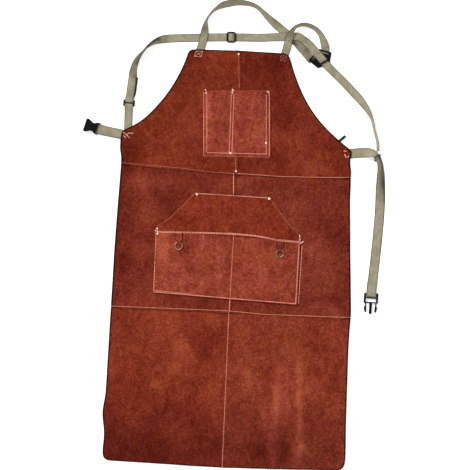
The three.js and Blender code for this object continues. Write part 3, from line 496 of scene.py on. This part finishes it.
class Tree:
    """A material and its nodes, one call for each node."""

    def __init__(self, name):
        self.material = bpy.data.materials.new(name)
        self.material.use_nodes = True
        self.nodes = self.material.node_tree.nodes
        self.links = self.material.node_tree.links
        self.surface = self.nodes["Principled BSDF"]

    def feed(self, node, inputs):
        for socket, value in inputs.items():
            if isinstance(value, bpy.types.NodeSocket):
                self.links.new(value, node.inputs[socket])
            else:
                node.inputs[socket].default_value = value

    def add(self, kind, inputs=None, **settings):
        node = self.nodes.new("ShaderNode" + kind)
        for name, value in settings.items():
            setattr(node, name, value)
        self.feed(node, inputs or {})
        return node

    def place(self):
        return self.add("TexCoord").outputs["Object"]

    def math(self, operation, *values):
        return self.add("Math", dict(enumerate(values)), operation=operation).outputs[0]

    def blend(self, *parts):
        """The sum of some values, each times its share."""
        total = 0.0
        for value, share in parts:
            total = self.math("MULTIPLY_ADD", value, share, total)
        return total

    def wave(self, value, length):
        return self.math("SINE", self.math("MULTIPLY", value, math.tau / length))

    def noise(self, place, scale, detail=4, roughness=0.55, swirl=0.0):
        inputs = {"Vector": place, "Scale": scale, "Detail": detail}
        inputs.update({"Roughness": roughness, "Distortion": swirl})
        return self.add("TexNoise", inputs).outputs["Fac"]

    def attribute(self, name):
        return self.add("Attribute", attribute_name=name).outputs["Fac"]

    def spread(self, value, low, high):
        """The value with low to high drawn out to 0 to 1, with soft ends."""
        inputs = {"Value": value, "From Min": low, "From Max": high}
        return self.add("MapRange", inputs, interpolation_type="SMOOTHSTEP").outputs["Result"]

    def between(self, value, low, high):
        """The value with 0 to 1 drawn in to low to high."""
        return self.add("MapRange", {"Value": value, "To Min": low, "To Max": high}).outputs["Result"]

    def mix(self, share, first, second, kind="MIX"):
        inputs = {MIX_SHARE: share, MIX_FIRST: first, MIX_SECOND: second}
        return self.add("Mix", inputs, data_type="RGBA", blend_type=kind).outputs[MIX_RESULT]

    def times(self, first, second):
        return self.mix(1.0, first, second, "MULTIPLY")

    def ramp(self, value, *stops):
        node = self.add("ValToRGB", {"Fac": value})
        elements = node.color_ramp.elements
        while len(elements) < len(stops):
            elements.new(0.5)
        for element, (position, colour) in zip(elements, stops):
            element.position = position
            element.color = colour
        return node.outputs["Color"]

    def bump(self, height, distance, strength):
        inputs = {"Height": height, "Distance": distance, "Strength": strength}
        return self.add("Bump", inputs).outputs["Normal"]


def suede(name, colour, seed, hem_colour=None):
    """Split leather: a mottled nap, streaked along the hide, with patches, painted highlights and shade on
    folds, a dark rim of cut edge with painted shade, and maybe a hem.
    """
    tree = Tree(name)
    place = tree.place()
    moved = tree.add("VectorMath", {0: place, 1: [seed * step for step in SEED_STEP]}).outputs[0]
    drawn = tree.add("Mapping", {"Vector": moved, "Scale": STREAK_SCALE}).outputs[0]
    blots = tree.noise(moved, scale=10, detail=3, roughness=0.45, swirl=0.8)
    streaks = tree.noise(drawn, scale=30, detail=3, roughness=0.5, swirl=1.4)
    grain = tree.noise(moved, scale=170, detail=4, roughness=0.7, swirl=0.6)
    nap = tree.noise(moved, scale=430, detail=3, roughness=0.7)
    # The tone holds the hides' patches, with the painted highlights and painted shade of the folds.
    tone = tree.attribute("tone")
    mottle = tree.blend((blots, 0.17), (streaks, 0.18), (grain, 0.37), (nap, 0.28), (tone, 0.055))
    warmth = tree.noise(moved, scale=20, detail=4, roughness=0.6, swirl=1.0)
    tint = tree.ramp(tree.spread(warmth, low=0.36, high=0.64), (0, COOL_TINT), (1, WARM_TINT))

    def hide(colour):
        base = seen(*colour)
        stops = ((at, scaled(base, *shares)) for at, *shares in HIDE_TONES)
        return tree.times(tree.ramp(mottle, *stops), tint)

    skin = hide(colour)
    if hem_colour:
        height = tree.add("SeparateXYZ", {0: place}).outputs["Y"]
        low = tree.spread(tree.math("MULTIPLY_ADD", blots, HEM_RAGGED, height), *HEM_FADE)
        skin = tree.mix(low, skin, hide(hem_colour))
    # The dark rim: the leather's cut edge, darkened as painted shade along the free edges.
    edge = tree.math("SUBTRACT", tree.attribute("rim"), RIM_RAGGED / 2)
    ragged = tree.math("MULTIPLY_ADD", grain, RIM_RAGGED, edge)
    skin = tree.mix(tree.spread(ragged, *RIM_FADE), seen(*RIM_EDGE_AND_SHADE_COLOUR), skin)
    relief = tree.math("MULTIPLY_ADD", nap, NAP_RELIEF, grain)
    tree.feed(tree.surface, {
        "Base Color": skin,
        "Roughness": 0.95,
        "Specular IOR Level": 0.06,
        "Sheen Weight": 0.03,
        "Sheen Roughness": 0.6,
        "Sheen Tint": (0.9, 0.5, 0.4, 1),
        "Normal": tree.bump(relief, distance=1.3 * MM, strength=0.7),
    })
    return tree.material


def webbing(name, colour):
    """Woven webbing: herringbone ribs across it, with painted shade along the selvages and in places."""
    tree = Tree(name)
    weave = tree.add("UVMap", uv_map="weave").outputs["UV"]
    across, along, _ = tree.add("SeparateXYZ", {0: weave}).outputs
    ribs = tree.wave(tree.math("ADD", along, tree.math("PINGPONG", across, RIB_TURN)), RIB_PITCH)
    warp = tree.wave(across, WARP_PITCH)
    height = tree.math("MULTIPLY_ADD", warp, WARP_RELIEF, ribs)
    place = tree.place()
    wear = tree.noise(place, scale=60, detail=5)
    slubs = tree.noise(place, scale=260, detail=3, roughness=0.6)
    fuzz = tree.noise(place, scale=900, detail=2)
    tone = tree.blend((wear, 0.45), (height, 0.08), (slubs, 0.45), (fuzz, 0.15))
    base = seen(*colour)
    cloth = tree.ramp(tone, (0.34, scaled(base, 0.6)), (0.52, base), (0.68, scaled(base, 1.3)))
    # Painted shade along the selvages, the strap's edges.
    inside = tree.spread(tree.attribute("rim"), 0.0, SELVAGE_END)
    cloth = tree.mix(inside, scaled(base, SELVAGE_PAINTED_SHADE), cloth)
    # Painted shade where the straps twist, stand on edge, double back and run under one another.
    cloth = tree.mix(tree.attribute("painted_shade"), cloth, seen(*PAINTED_SHADE_COLOUR))
    tree.feed(tree.surface, {
        "Base Color": cloth,
        "Roughness": 0.85,
        "Specular IOR Level": 0.25,
        "Sheen Weight": 0.1,
        "Normal": tree.bump(height, distance=0.25 * MM, strength=0.6),
    })
    return tree.material


def plastic(name, colour):
    """Moulded nylon: a fine spark texture, scuffed a little lighter in places."""
    tree = Tree(name)
    place = tree.place()
    scuff = tree.noise(place, scale=140, detail=6, roughness=0.7)
    spark = tree.noise(place, scale=1800, detail=2)
    base = seen(*colour)
    tree.feed(tree.surface, {
        "Base Color": tree.ramp(scuff, (0.45, base), (0.72, scaled(base, 2.5))),
        "Specular IOR Level": 0.12,
        "Roughness": tree.between(scuff, low=0.32, high=0.5),
        "Normal": tree.bump(spark, distance=0.12 * MM, strength=0.4),
    })
    return tree.material


def metal(name, colour):
    """Plated wire with dull spots."""
    tree = Tree(name)
    spots = tree.noise(tree.place(), scale=150, detail=5, roughness=0.6)
    base = seen(*colour)
    tree.feed(tree.surface, {
        "Base Color": tree.ramp(spots, (0.4, scaled(base, 0.35)), (0.56, base)),
        "Metallic": 1.0,
        "Roughness": tree.between(spots, low=0.38, high=0.6),
        "Normal": tree.bump(spots, distance=0.08 * MM, strength=0.3),
    })
    return tree.material


def thread(name, colour):
    """Twisted sewing thread, soiled in places."""
    tree = Tree(name)
    place = tree.place()
    soil = tree.noise(place, scale=45, detail=4)
    twist = tree.noise(place, scale=1500, detail=2)
    base = scaled(seen(*colour), THREAD_GAIN)
    tree.feed(tree.surface, {
        "Base Color": tree.ramp(soil, (0.34, scaled(base, 0.72)), (0.5, base)),
        "Roughness": 0.75,
        "Normal": tree.bump(twist, distance=0.2 * MM, strength=0.6),
    })
    return tree.material


def placed(name, data):
    """A new object in the scene."""
    made = bpy.data.objects.new(name, data)
    bpy.context.scene.collection.objects.link(made)
    return made


def piece(name, mesh, look, slot, *replaced):
    """A mesh as a finished piece that rides with the apron and stands for CAD nodes."""
    made = placed(name, mesh)
    mesh.materials.clear()
    mesh.materials.append(look)
    for face in mesh.polygons:
        face.use_smooth = True
    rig.ride(made, "root")
    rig.slot(made, slot)
    if replaced:
        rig.replaces(made, *replaced)
    return made


def built(name, corners, faces):
    """A mesh of corners and faces."""
    mesh = bpy.data.meshes.new(name)
    mesh.from_pydata([tuple(c) for c in corners], [], faces)
    return mesh


def node_mesh(node):
    """A CAD node's surface with its vertices joined."""
    work = bmesh.new()
    work.from_mesh(NODES[node].data)
    bmesh.ops.remove_doubles(work, verts=work.verts, dist=SAME_PLACE)
    bmesh.ops.recalc_face_normals(work, faces=work.faces)
    return work


def finished(work, name):
    """A mesh of a surface that was worked on."""
    mesh = bpy.data.meshes.new(name)
    work.to_mesh(mesh)
    work.free()
    return mesh


def turned_out(mesh):
    """A closed mesh with its faces turned to the outside."""
    work = bmesh.new()
    work.from_mesh(mesh)
    bmesh.ops.recalc_face_normals(work, faces=work.faces)
    work.to_mesh(mesh)
    work.free()
    return mesh


def mark(mesh, name, values):
    """Stores a value for each vertex, for the materials."""
    layer = mesh.attributes.new(name, "FLOAT", "POINT")
    layer.data.foreach_set("value", np.asarray(values, np.float32))


def search_tree(meshes):
    """One tree of the faces of some meshes, for rays."""
    corners, faces = [], []
    for mesh in meshes:
        start = len(corners)
        corners.extend(v.co.copy() for v in mesh.vertices)
        faces.extend([start + i for i in p.vertices] for p in mesh.polygons)
    return BVHTree.FromPolygons(corners, faces)


def hit_below(tree, place):
    """The topmost point and its normal at a place on the floor, or None twice."""
    return tree.ray_cast(Vector((place[0], place[1], RAY_HEIGHT)), DOWN)[:2]


def is_wall(face):
    return abs(face.normal.z) < FLAT_NORMAL


def is_upper(face):
    return face.normal.z > FLAT_NORMAL


def humps(places, rows):
    """The sum of a table's smooth humps at places on the floor."""
    across, down = to_photo(places)
    total = np.zeros(len(places))
    for x, y, half_x, half_y, height in rows:
        total += height * np.exp(-((across - x) / half_x) ** 2 - ((down - y) / half_y) ** 2)
    return total


def swell(places):
    """How far the leather stands off what is under it, the same for every layer at a place."""
    rise = humps(places, RIDGES)
    for scale, size in SWELLS:
        rise += [size * (0.5 + 0.5 * noise.noise(Vector((x, y, 0)) * scale)) for x, y in places]
    return rise


def painted_shade_at(places):
    """How deep the webbing's painted shade is at places, by the deepest painted shade place there."""
    spots = np.stack(to_photo(places), axis=1)
    painted_shade = np.zeros(len(places))
    for half, depth, *line in PAINTED_SHADES:
        for start, end in zip(np.array(line), np.array(line[1:])):
            leg = end - start
            share = np.clip((spots - start) @ leg / (leg @ leg), 0, 1)
            off = np.linalg.norm(spots - start - share[:, None] * leg, axis=1)
            painted_shade = np.maximum(painted_shade, depth * np.exp(-(off / half) ** 2))
    return painted_shade


def mark_rim(work, node):
    """Sets the rim value to 0 along the edges that no other panel covers, and to 1 elsewhere."""
    rim = work.verts.layers.float.new("rim")
    others = search_tree(NODES[n].data for n in PANELS if n != node) if node in PANELS else None
    for vertex in work.verts:
        walls = [f.normal for f in vertex.link_faces if is_wall(f)]
        vertex[rim] = 1.0
        if walls and others:
            out = sum(walls, Vector())
            probe = vertex.co + RIM_PROBE * Vector((out.x, out.y, 0)).normalized()
            if hit_below(others, probe)[0] is None:
                vertex[rim] = 0.0


def inset_rim(work):
    """Cuts a narrow band along the edges of the upper face, inside which the rim value is 1."""
    rim = work.verts.layers.float["rim"]
    upper = [f for f in work.faces if is_upper(f)]
    bmesh.ops.inset_region(work, faces=upper, thickness=RIM, use_even_offset=True)
    for vertex in work.verts:
        if all(is_upper(f) for f in vertex.link_faces):
            vertex[rim] = 1.0


def crease_edges(work):
    """Keeps the edges between flat faces and walls firm under subdivision."""
    crease = work.edges.layers.float.new("crease_edge")
    for edge in work.edges:
        if len({is_wall(f) for f in edge.link_faces}) == 2:
            edge[crease] = EDGE_CREASE


def subdivided(mesh, name):
    """A mesh as its subdivision surface."""
    holder = placed(mesh.name, mesh)
    modifier = holder.modifiers.new("smooth", "SUBSURF")
    modifier.levels = modifier.render_levels = QUICK_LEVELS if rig.quick() else SMOOTH_LEVELS
    graph = bpy.context.evaluated_depsgraph_get()
    made = bpy.data.meshes.new_from_object(holder.evaluated_get(graph))
    made.name = name
    bpy.data.objects.remove(holder)
    return made


def smooth_sheet(node):
    """A CAD sheet's mesh, smoothed, with its rim marked."""
    work = node_mesh(node)
    bmesh.ops.join_triangles(
        work,
        faces=work.faces,
        angle_face_threshold=JOINED_FACES,
        angle_shape_threshold=JOINED_SHAPE,
    )
    mark_rim(work, node)
    inset_rim(work)
    crease_edges(work)
    return subdivided(finished(work, node + "_work"), node + "_leather")


def leather(node, look, slot, sewn_on=()):
    """A leather sheet: the CAD sheet smoothed, with a fine rim, and swelling a little where it lies."""
    mesh = smooth_sheet(node)
    places = np.array([v.co[:2] for v in mesh.vertices])
    for vertex, rise in zip(mesh.vertices, swell(places)):
        vertex.co.z += rise
    # Tone of the patches, with painted highlights on fold ridges and painted shade in fold valleys.
    mark(mesh, "tone", humps(places, PATCHES_AND_PAINTED_FOLD_LIGHT))
    made = piece(node + "_leather", mesh, look, slot, node)
    low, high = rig.box(node)
    area = sum(p.area for p in NODES[node].data.polygons if is_upper(p))
    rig.sheet(
        made,
        flat=(high.x - low.x, high.y - low.y),
        held="laid",
        rests_on=RESTS_ON.get(node, []),
        area=min(area, (high.x - low.x) * (high.y - low.y)),
        with_pieces=list(sewn_on),
    )
    return made


def next_ring(last, ahead):
    """The vertices ahead of a ring's own, in their order, or None if they make no ring."""
    found = set.union(*ahead)
    if len(found) != STRAP_CORNERS:
        return None
    orders = [o for o in permutations(found) if all(v in near for v, near in zip(o, ahead))]
    return min(orders, key=lambda o: sum((a.co - b.co).length for a, b in zip(last, o)), default=None)


def walked(start):
    """The rings of vertices along a strap, from one end's ring, or None if that isn't an end."""
    passed, rings = set(start), [start]
    while True:
        ahead = [{e.other_vert(v) for e in v.link_edges} - passed for v in rings[-1]]
        if not any(ahead):
            return rings
        following = next_ring(rings[-1], ahead)
        if not following:
            return None
        passed.update(following)
        rings.append(following)


def strap_rings(node):
    """The cross-sections of a CAD strap, in order: an array of rings, corners and coordinates."""
    work = node_mesh(node)
    work.verts.ensure_lookup_table()
    for edge in work.edges:
        if len(edge.link_faces) != 2 or any(len(f.verts) != 3 for f in edge.link_faces):
            continue
        tips = [next(v for v in f.verts if v not in edge.verts) for f in edge.link_faces]
        rings = walked([edge.verts[0], tips[0], edge.verts[1], tips[1]])
        if rings and STRAP_CORNERS * len(rings) == len(work.verts):
            found = np.array([[v.co for v in row] for row in rings])
            work.free()
            return found
    raise ValueError(f"{node} is no plain strap")


def joined_rings(first, second):
    """The rings of two straps whose ends meet, as one strap."""
    ends = [(a, b) for a in (first, first[::-1]) for b in (second, second[::-1])]
    before, after = min(ends, key=lambda pair: np.linalg.norm(pair[0][-1].mean(0) - pair[1][0].mean(0)))
    turns = [np.roll(after[:, ::flip], k, axis=1) for flip in (1, -1) for k in range(STRAP_CORNERS)]
    after = min(turns, key=lambda t: np.linalg.norm(t[0] - before[-1], axis=1).sum())
    return np.concatenate([before, after])


def eased(points, places):
    """A smooth curve through points, read at places counted in points (centripetal spline)."""
    padded = np.concatenate([[2 * points[0] - points[1]], points, [2 * points[-1] - points[-2]]])
    made = []
    for place in places:
        i = min(int(place), len(points) - 2)
        p = padded[i:i + 4]
        steps = np.maximum(np.linalg.norm(np.diff(p, axis=0), axis=1), LEAST_SPAN) ** 0.5
        t = np.concatenate([[0], np.cumsum(steps)])
        at = t[1] + (place - i) * (t[2] - t[1])
        a = [((t[k + 1] - at) * p[k] + (at - t[k]) * p[k + 1]) / (t[k + 1] - t[k]) for k in range(3)]
        b = [((t[k + 2] - at) * a[k] + (at - t[k]) * a[k + 1]) / (t[k + 2] - t[k]) for k in range(2)]
        made.append(((t[2] - at) * b[0] + (at - t[1]) * b[1]) / (t[2] - t[1]))
    return np.array(made)


def strap_sides(rings):
    """Twice the vectors from side to side of a strap's rings: across the strap, then through it."""
    first = rings[:, 1] + rings[:, 2] - rings[:, 0] - rings[:, 3]
    second = rings[:, 3] + rings[:, 2] - rings[:, 0] - rings[:, 1]
    if np.linalg.norm(first[0]) < np.linalg.norm(second[0]):
        return second, first
    return first, second


def stations(middles):
    """Places along a strap, counted in rings, with at least two steps from ring to ring."""
    places = [0.0]
    for i, gap in enumerate(np.linalg.norm(np.diff(middles, axis=0), axis=1)):
        cuts = max(2, round(gap / STRAP_STEP))
        places.extend(i + (k + 1) / cuts for k in range(cuts))
    return np.array(places)


def unit(vectors):
    return vectors / np.linalg.norm(vectors, axis=1)[:, None]


def turned(vectors, places):
    """The rings' directions at places counted in rings."""
    directions = unit(vectors)
    before = np.minimum(places.astype(int), len(directions) - 2)
    share = (places - before)[:, None]
    return unit(directions[before] * (1 - share) + directions[before + 1] * share)


def strap_section(width, thick):
    """A flat section with rounded selvages: how far its corners lie across and through the strap."""
    angles = math.tau * np.arange(STRAP_SIDES) / STRAP_SIDES
    cos, sin = np.cos(angles), np.sin(angles)
    across = np.sign(cos) * np.abs(cos) ** ACROSS_POWER * width / 2
    through = np.sign(sin) * np.abs(sin) ** THROUGH_POWER * thick / 2
    return across, through


def tube_faces(count, sides):
    """The faces of a closed tube of some rings of corners."""
    faces = []
    for i in range(count - 1):
        a, b = i * sides, (i + 1) * sides
        for k in range(sides):
            m = (k + 1) % sides
            faces.append((a + k, a + m, b + m, b + k))
    faces.append(tuple(range(sides))[::-1])
    faces.append(tuple((count - 1) * sides + k for k in range(sides)))
    return faces


def strap(name, rings, look, slot, *nodes):
    """A webbing strap with rounded selvages along a CAD strap, with its weave's map."""
    middles, (wide, deep) = rings.mean(1), strap_sides(rings)
    width, thick = (np.linalg.norm(v[0]) / 2 for v in (wide, deep))
    places = stations(middles)
    centre = eased(middles, places)
    across, through = strap_section(width, thick)
    wide, deep = (turned(v, places)[:, None] for v in (wide, deep))
    corners = (centre[:, None] + wide * across[:, None] + deep * through[:, None]).reshape(-1, 3)
    length = np.concatenate([[0], np.cumsum(np.linalg.norm(np.diff(centre, axis=0), axis=1))])
    mesh = turned_out(built(name, corners, tube_faces(len(centre), STRAP_SIDES)))
    # The rim value, of 0 at the edges to 1 in the middle, places the painted shade along the selvages.
    mark(mesh, "rim", np.tile(1 - np.abs(across) / (width / 2), len(centre)))
    # Marks the webbing's painted shade at each vertex.
    mark(mesh, "painted_shade", painted_shade_at(corners))
    weave = mesh.uv_layers.new(name="weave")
    for loop in mesh.loops:
        i, k = divmod(loop.vertex_index, STRAP_SIDES)
        weave.data[loop.index].uv = (across[k] + width, length[i])
    made = piece(name, mesh, look, slot, *nodes)
    if width >= LEAST_SHEET:
        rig.sheet(made, flat=(width, length[-1]), held="laid")
    return made


def push_out(work, distance):
    """Moves each face of a surface outwards."""
    work.normal_update()
    moves = [v.normal * v.calc_shell_factor() * distance for v in work.verts]
    for vertex, move in zip(work.verts, moves):
        vertex.co += move


def mark_long_sides(work, width):
    """Sets the rim value to 0 on the two sides along Y, where the dark cut edge with painted shade goes,
    and to 1 between them.
    """
    sides = [v.co.x for v in work.verts]
    low, high = min(sides) + width, max(sides) - width
    for x in (low, high):
        whole = [*work.verts, *work.edges, *work.faces]
        bmesh.ops.bisect_plane(work, geom=whole, plane_co=(x, 0, 0), plane_no=(1, 0, 0))
    rim = work.verts.layers.float.new("rim")
    for vertex in work.verts:
        vertex[rim] = float(low - SAME_PLACE <= vertex.co.x <= high + SAME_PLACE)


def moulded(node, look, slot, bevel=BEVEL, edge_and_shade_width=0.0, fuller=0.0):
    """A firm CAD node with its edges rounded, and along its two long sides, if it has one, a dark rim
    of cut edge with painted shade.
    """
    work = node_mesh(node)
    bmesh.ops.dissolve_limit(work, angle_limit=FLAT_ANGLE, verts=work.verts, edges=work.edges)
    push_out(work, fuller)
    sharp = [e for e in work.edges if len(e.link_faces) == 2 and e.calc_face_angle(0) > SHARP_ANGLE]
    bmesh.ops.bevel(
        work,
        geom=sharp,
        offset=bevel,
        segments=BEVEL_STEPS,
        profile=0.5,
        affect="EDGES",
        clamp_overlap=True,
    )
    if edge_and_shade_width:
        mark_long_sides(work, edge_and_shade_width)
    bmesh.ops.triangulate(work, faces=[f for f in work.faces if len(f.verts) > 4])
    made = piece(node + "_moulded", finished(work, node + "_moulded"), look, slot, node)
    made.modifiers.new("even", "WEIGHTED_NORMAL").keep_sharp = True
    return made


def ring(node, look, slot):
    """A round wire ring in the plane of its CAD node."""
    points = np.array([v.co for v in NODES[node].data.vertices])
    middle = (points.max(0) + points.min(0)) / 2
    _, _, axes = np.linalg.svd(points - points.mean(0), full_matrices=False)
    reach = np.linalg.norm((points - middle) @ axes[:2].T, axis=1)
    wire = (reach.max() - reach.min()) / 2
    radius = (reach.max() + reach.min()) / 2
    corners, faces = [], []
    for i in range(RING_SIDES):
        turn = math.tau * i / RING_SIDES
        out = math.cos(turn) * axes[0] + math.sin(turn) * axes[1]
        a, b = i * WIRE_SIDES, (i + 1) % RING_SIDES * WIRE_SIDES
        for k in range(WIRE_SIDES):
            lean = math.tau * k / WIRE_SIDES
            corners.append(middle + out * (radius + wire * math.cos(lean)) + axes[2] * wire * math.sin(lean))
            m = (k + 1) % WIRE_SIDES
            faces.append((a + k, b + k, b + m, a + m))
    return piece(node + "_wire", built(node + "_wire", corners, faces), look, slot, node)


def surface_under(pieces):
    """A function that gives the topmost point of some pieces and its normal, or the floor's, at a place."""
    tree = search_tree(made.data for made in pieces)

    def top(place):
        hit, normal = hit_below(tree, place)
        return (Vector((place[0], place[1], 0)), UP) if hit is None else (hit, normal)

    return top


def capsule(corners, faces, start, end, up, radius):
    """Adds one stitch: a thread that rises out of the leather and dips back into it."""
    along = (end - start).normalized()
    side = up.cross(along).normalized()
    rise = along.cross(side)
    first = len(corners)
    for share, girth, lift in STITCH_ROWS:
        middle = start.lerp(end, share) + rise * radius * lift
        for k in range(STITCH_SIDES):
            turn = math.tau * k / STITCH_SIDES
            corners.append(middle + radius * girth * (side * math.cos(turn) + rise * math.sin(turn)))
    for face in tube_faces(len(STITCH_ROWS), STITCH_SIDES):
        faces.append(tuple(first + corner for corner in face))


def stitch_ends(line, size):
    """The two ends of each stitch of a line, as places on the floor."""
    path = [from_photo(*pixel) for pixel in line]
    for a, b in zip(path, path[1:]):
        reach = (b - a).length
        count = max(1, round(reach / size["pitch"]))
        half = (b - a).normalized() * min(size["length"], STITCH_SHARE * reach / count) / 2
        for k in range(count):
            middle = a.lerp(b, (k + 0.5) / count)
            yield middle - half, middle + half


def stitches(name, lines, size, look, top):
    """All stitches of some lines, laid on the leather, as one piece."""
    corners, faces = [], []
    for line in lines:
        for here, there in stitch_ends(line, size):
            (start, lean), (end, other) = top(here), top(there)
            capsule(corners, faces, start, end, (lean + other).normalized(), size["radius"])
    return piece(name, built(name, corners, faces), look, "webbing")


def knots(name, places, look, top):
    """Small knots of thread at the ends of seams, as one piece."""
    work = bmesh.new()
    for pixel in places:
        foot, _ = top(from_photo(*pixel))
        made = bmesh.ops.create_icosphere(work, subdivisions=3, radius=KNOT_RADIUS)
        for vertex in made["verts"]:
            x, y, z = vertex.co
            lump = 1 + KNOT_LUMPS * noise.noise(vertex.co * KNOT_GRAIN + foot * KNOT_SHIFT)
            vertex.co = foot + Vector((x * lump, y * lump, KNOT_HEIGHT * z * lump))
    return piece(name, finished(work, name), look, "webbing")


def lay_floor():
    """A plain floor that glows a little, so that it shows white."""
    half = FLOOR_HALF
    corners = [(-half, -half, 0), (half, -half, 0), (half, half, 0), (-half, half, 0)]
    board = placed("floor", built("floor", corners, [(0, 1, 2, 3)]))
    board.location.z = FLOOR_HEIGHT
    pale = Tree("floor")
    pale.feed(pale.surface, {
        "Base Color": (0.93, 0.93, 0.93, 1),
        "Roughness": 0.9,
        "Specular IOR Level": 0.1,
        "Emission Color": (1, 1, 1, 1),
        "Emission Strength": 0.42,
    })
    board.data.materials.append(pale.material)
    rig.stage(board)


def sun(name, place, brightness, angle):
    """A sun at a place, turned to the middle of the apron, that shows a white floor this bright."""
    light = bpy.data.lights.new(name, "SUN")
    light.energy = brightness * math.pi / place.normalized().z
    light.angle = angle
    holder = placed(name, light)
    holder.location = place
    holder.rotation_euler = (-place).to_track_quat("-Z", "Y").to_euler()


def light_studio():
    """A white sky, a key from the upper left and a soft fill from the lower right."""
    world = bpy.data.worlds.new("studio")
    world.use_nodes = True
    background = world.node_tree.nodes["Background"]
    background.inputs["Color"].default_value = (1, 1, 1, 1)
    background.inputs["Strength"].default_value = SKY
    bpy.context.scene.world = world
    sun("key", KEY_PLACE, KEY, KEY_ANGLE)
    sun("fill", FILL_PLACE, FILL, FILL_ANGLE)
    bpy.context.scene.view_settings.view_transform = "Standard"


def set_camera():
    """A camera over the apron that shows the photograph's frame."""
    camera = bpy.data.cameras.new("camera")
    camera.lens = LENS
    camera.sensor_width = SENSOR
    holder = placed("camera", camera)
    holder.location = (*PHOTO_MIDDLE, PHOTO_SIDE * PIXEL * LENS / SENSOR)
    holder.rotation_euler = (0, 0, PHOTO_TURN)
    bpy.context.scene.camera = holder


def dress_leather():
    """The panels with the tape that is sewn to them, the pockets and the ring tabs; gives the leather."""
    hides = {
        "bib_left": suede("suede_bib_left", (122, 43, 23), 1),
        "bib_right": suede("suede_bib_right", (119, 41, 23), 2),
        "waist_left": suede("suede_waist_left", (118, 41, 26), 3),
        "waist_right": suede("suede_waist_right", (123, 46, 30), 4),
        "skirt_left": suede("suede_skirt_left", (127, 45, 26), 5, (107, 34, 21)),
        "skirt_right": suede("suede_skirt_right", (133, 51, 31), 6, (118, 44, 29)),
    }
    pocket_hides = {
        "chest_pocket": suede("suede_chest_pocket", (151, 63, 45), 7),
        "hand_pocket": suede("suede_hand_pocket", (129, 45, 26), 8),
        "tool_pocket": suede("suede_tool_pocket", (146, 59, 40), 9),
    }
    tab_hide = suede("suede_tab", (141, 57, 41), 10)
    tape = webbing("tape_black", (30, 28, 27))
    edge_tab = strap("edge_tab_tape", strap_rings("edge_tab"), tape, "black_tape", "edge_tab")
    sewn_on = {"bib_right": [edge_tab]}
    made = [leather(n, look, "leather", sewn_on.get(n, ())) for n, look in hides.items()]
    made += [leather(n, look, "pocket_leather") for n, look in pocket_hides.items()]
    made += [moulded(n, tab_hide, "leather", TAB_BEVEL, TAB_EDGE_AND_SHADE_RIM) for n in RING_TABS]
    return made


def dress_fittings():
    """The rings, the straps and the plastic pieces."""
    silver = metal("plated_wire", (222, 174, 148))
    beige = webbing("webbing_beige", (166, 158, 131))
    black = plastic("plastic_black", (6, 6, 7))
    for n in RINGS:
        ring(n, silver, "ring_metal")
    long_strap = joined_rings(strap_rings("neck_strap"), strap_rings("back_strap"))
    strap("back_webbing", long_strap, beige, "webbing", "neck_strap", "back_strap")
    for n in STRAPS:
        strap(n + "_webbing", strap_rings(n), beige, "webbing", n)
    for n in PLASTICS:
        moulded(n, black, "black_plastic", fuller=FULLER.get(n, 0))


def dress_thread(top):
    """The stitches and knots, laid on the leather."""
    apricot = thread("thread_apricot", (236, 152, 120))
    pink = thread("thread_pink", (250, 168, 144))
    rust = thread("thread_rust", (226, 134, 104))
    white = thread("thread_white", (255, 232, 212))
    pale = thread("thread_pale", (255, 208, 186))
    # A dimmer thread for the right shoulder strap's sewn square.
    dimmer = thread("thread_dim", (176, 112, 96))
    stitches("stitches_seams", SEAM_LINES, SEAM_STITCH, apricot, top)
    stitches("stitches_chest", CHEST_LINES, CHEST_STITCH, pink, top)
    stitches("stitches_pockets", POCKET_LINES, POCKET_STITCH, pink, top)
    stitches("stitches_slants", FINE_LINES, FINE_STITCH, rust, top)
    stitches("stitches_shoulder_left", LEFT_TACK_LINES, TACK_STITCH, pale, top)
    stitches("stitches_shoulder_right", RIGHT_TACK_LINES, TACK_STITCH, dimmer, top)
    stitches("stitches_corners", CORNER_LINES, CORNER_STITCH, pale, top)
    stitches("stitches_bars", BAR_LINES, BAR_STITCH, pale, top)
    knots("thread_knots", KNOTS, white, top)


lay_floor()
light_studio()
set_camera()
leather_pieces = dress_leather()
dress_fittings()
dress_thread(surface_under(leather_pieces))
with open("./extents.json", "w") as out:
    json.dump({"cad": [list(c) for c in CAD_BOX], "visual": [list(c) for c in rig.bounds()]}, out)
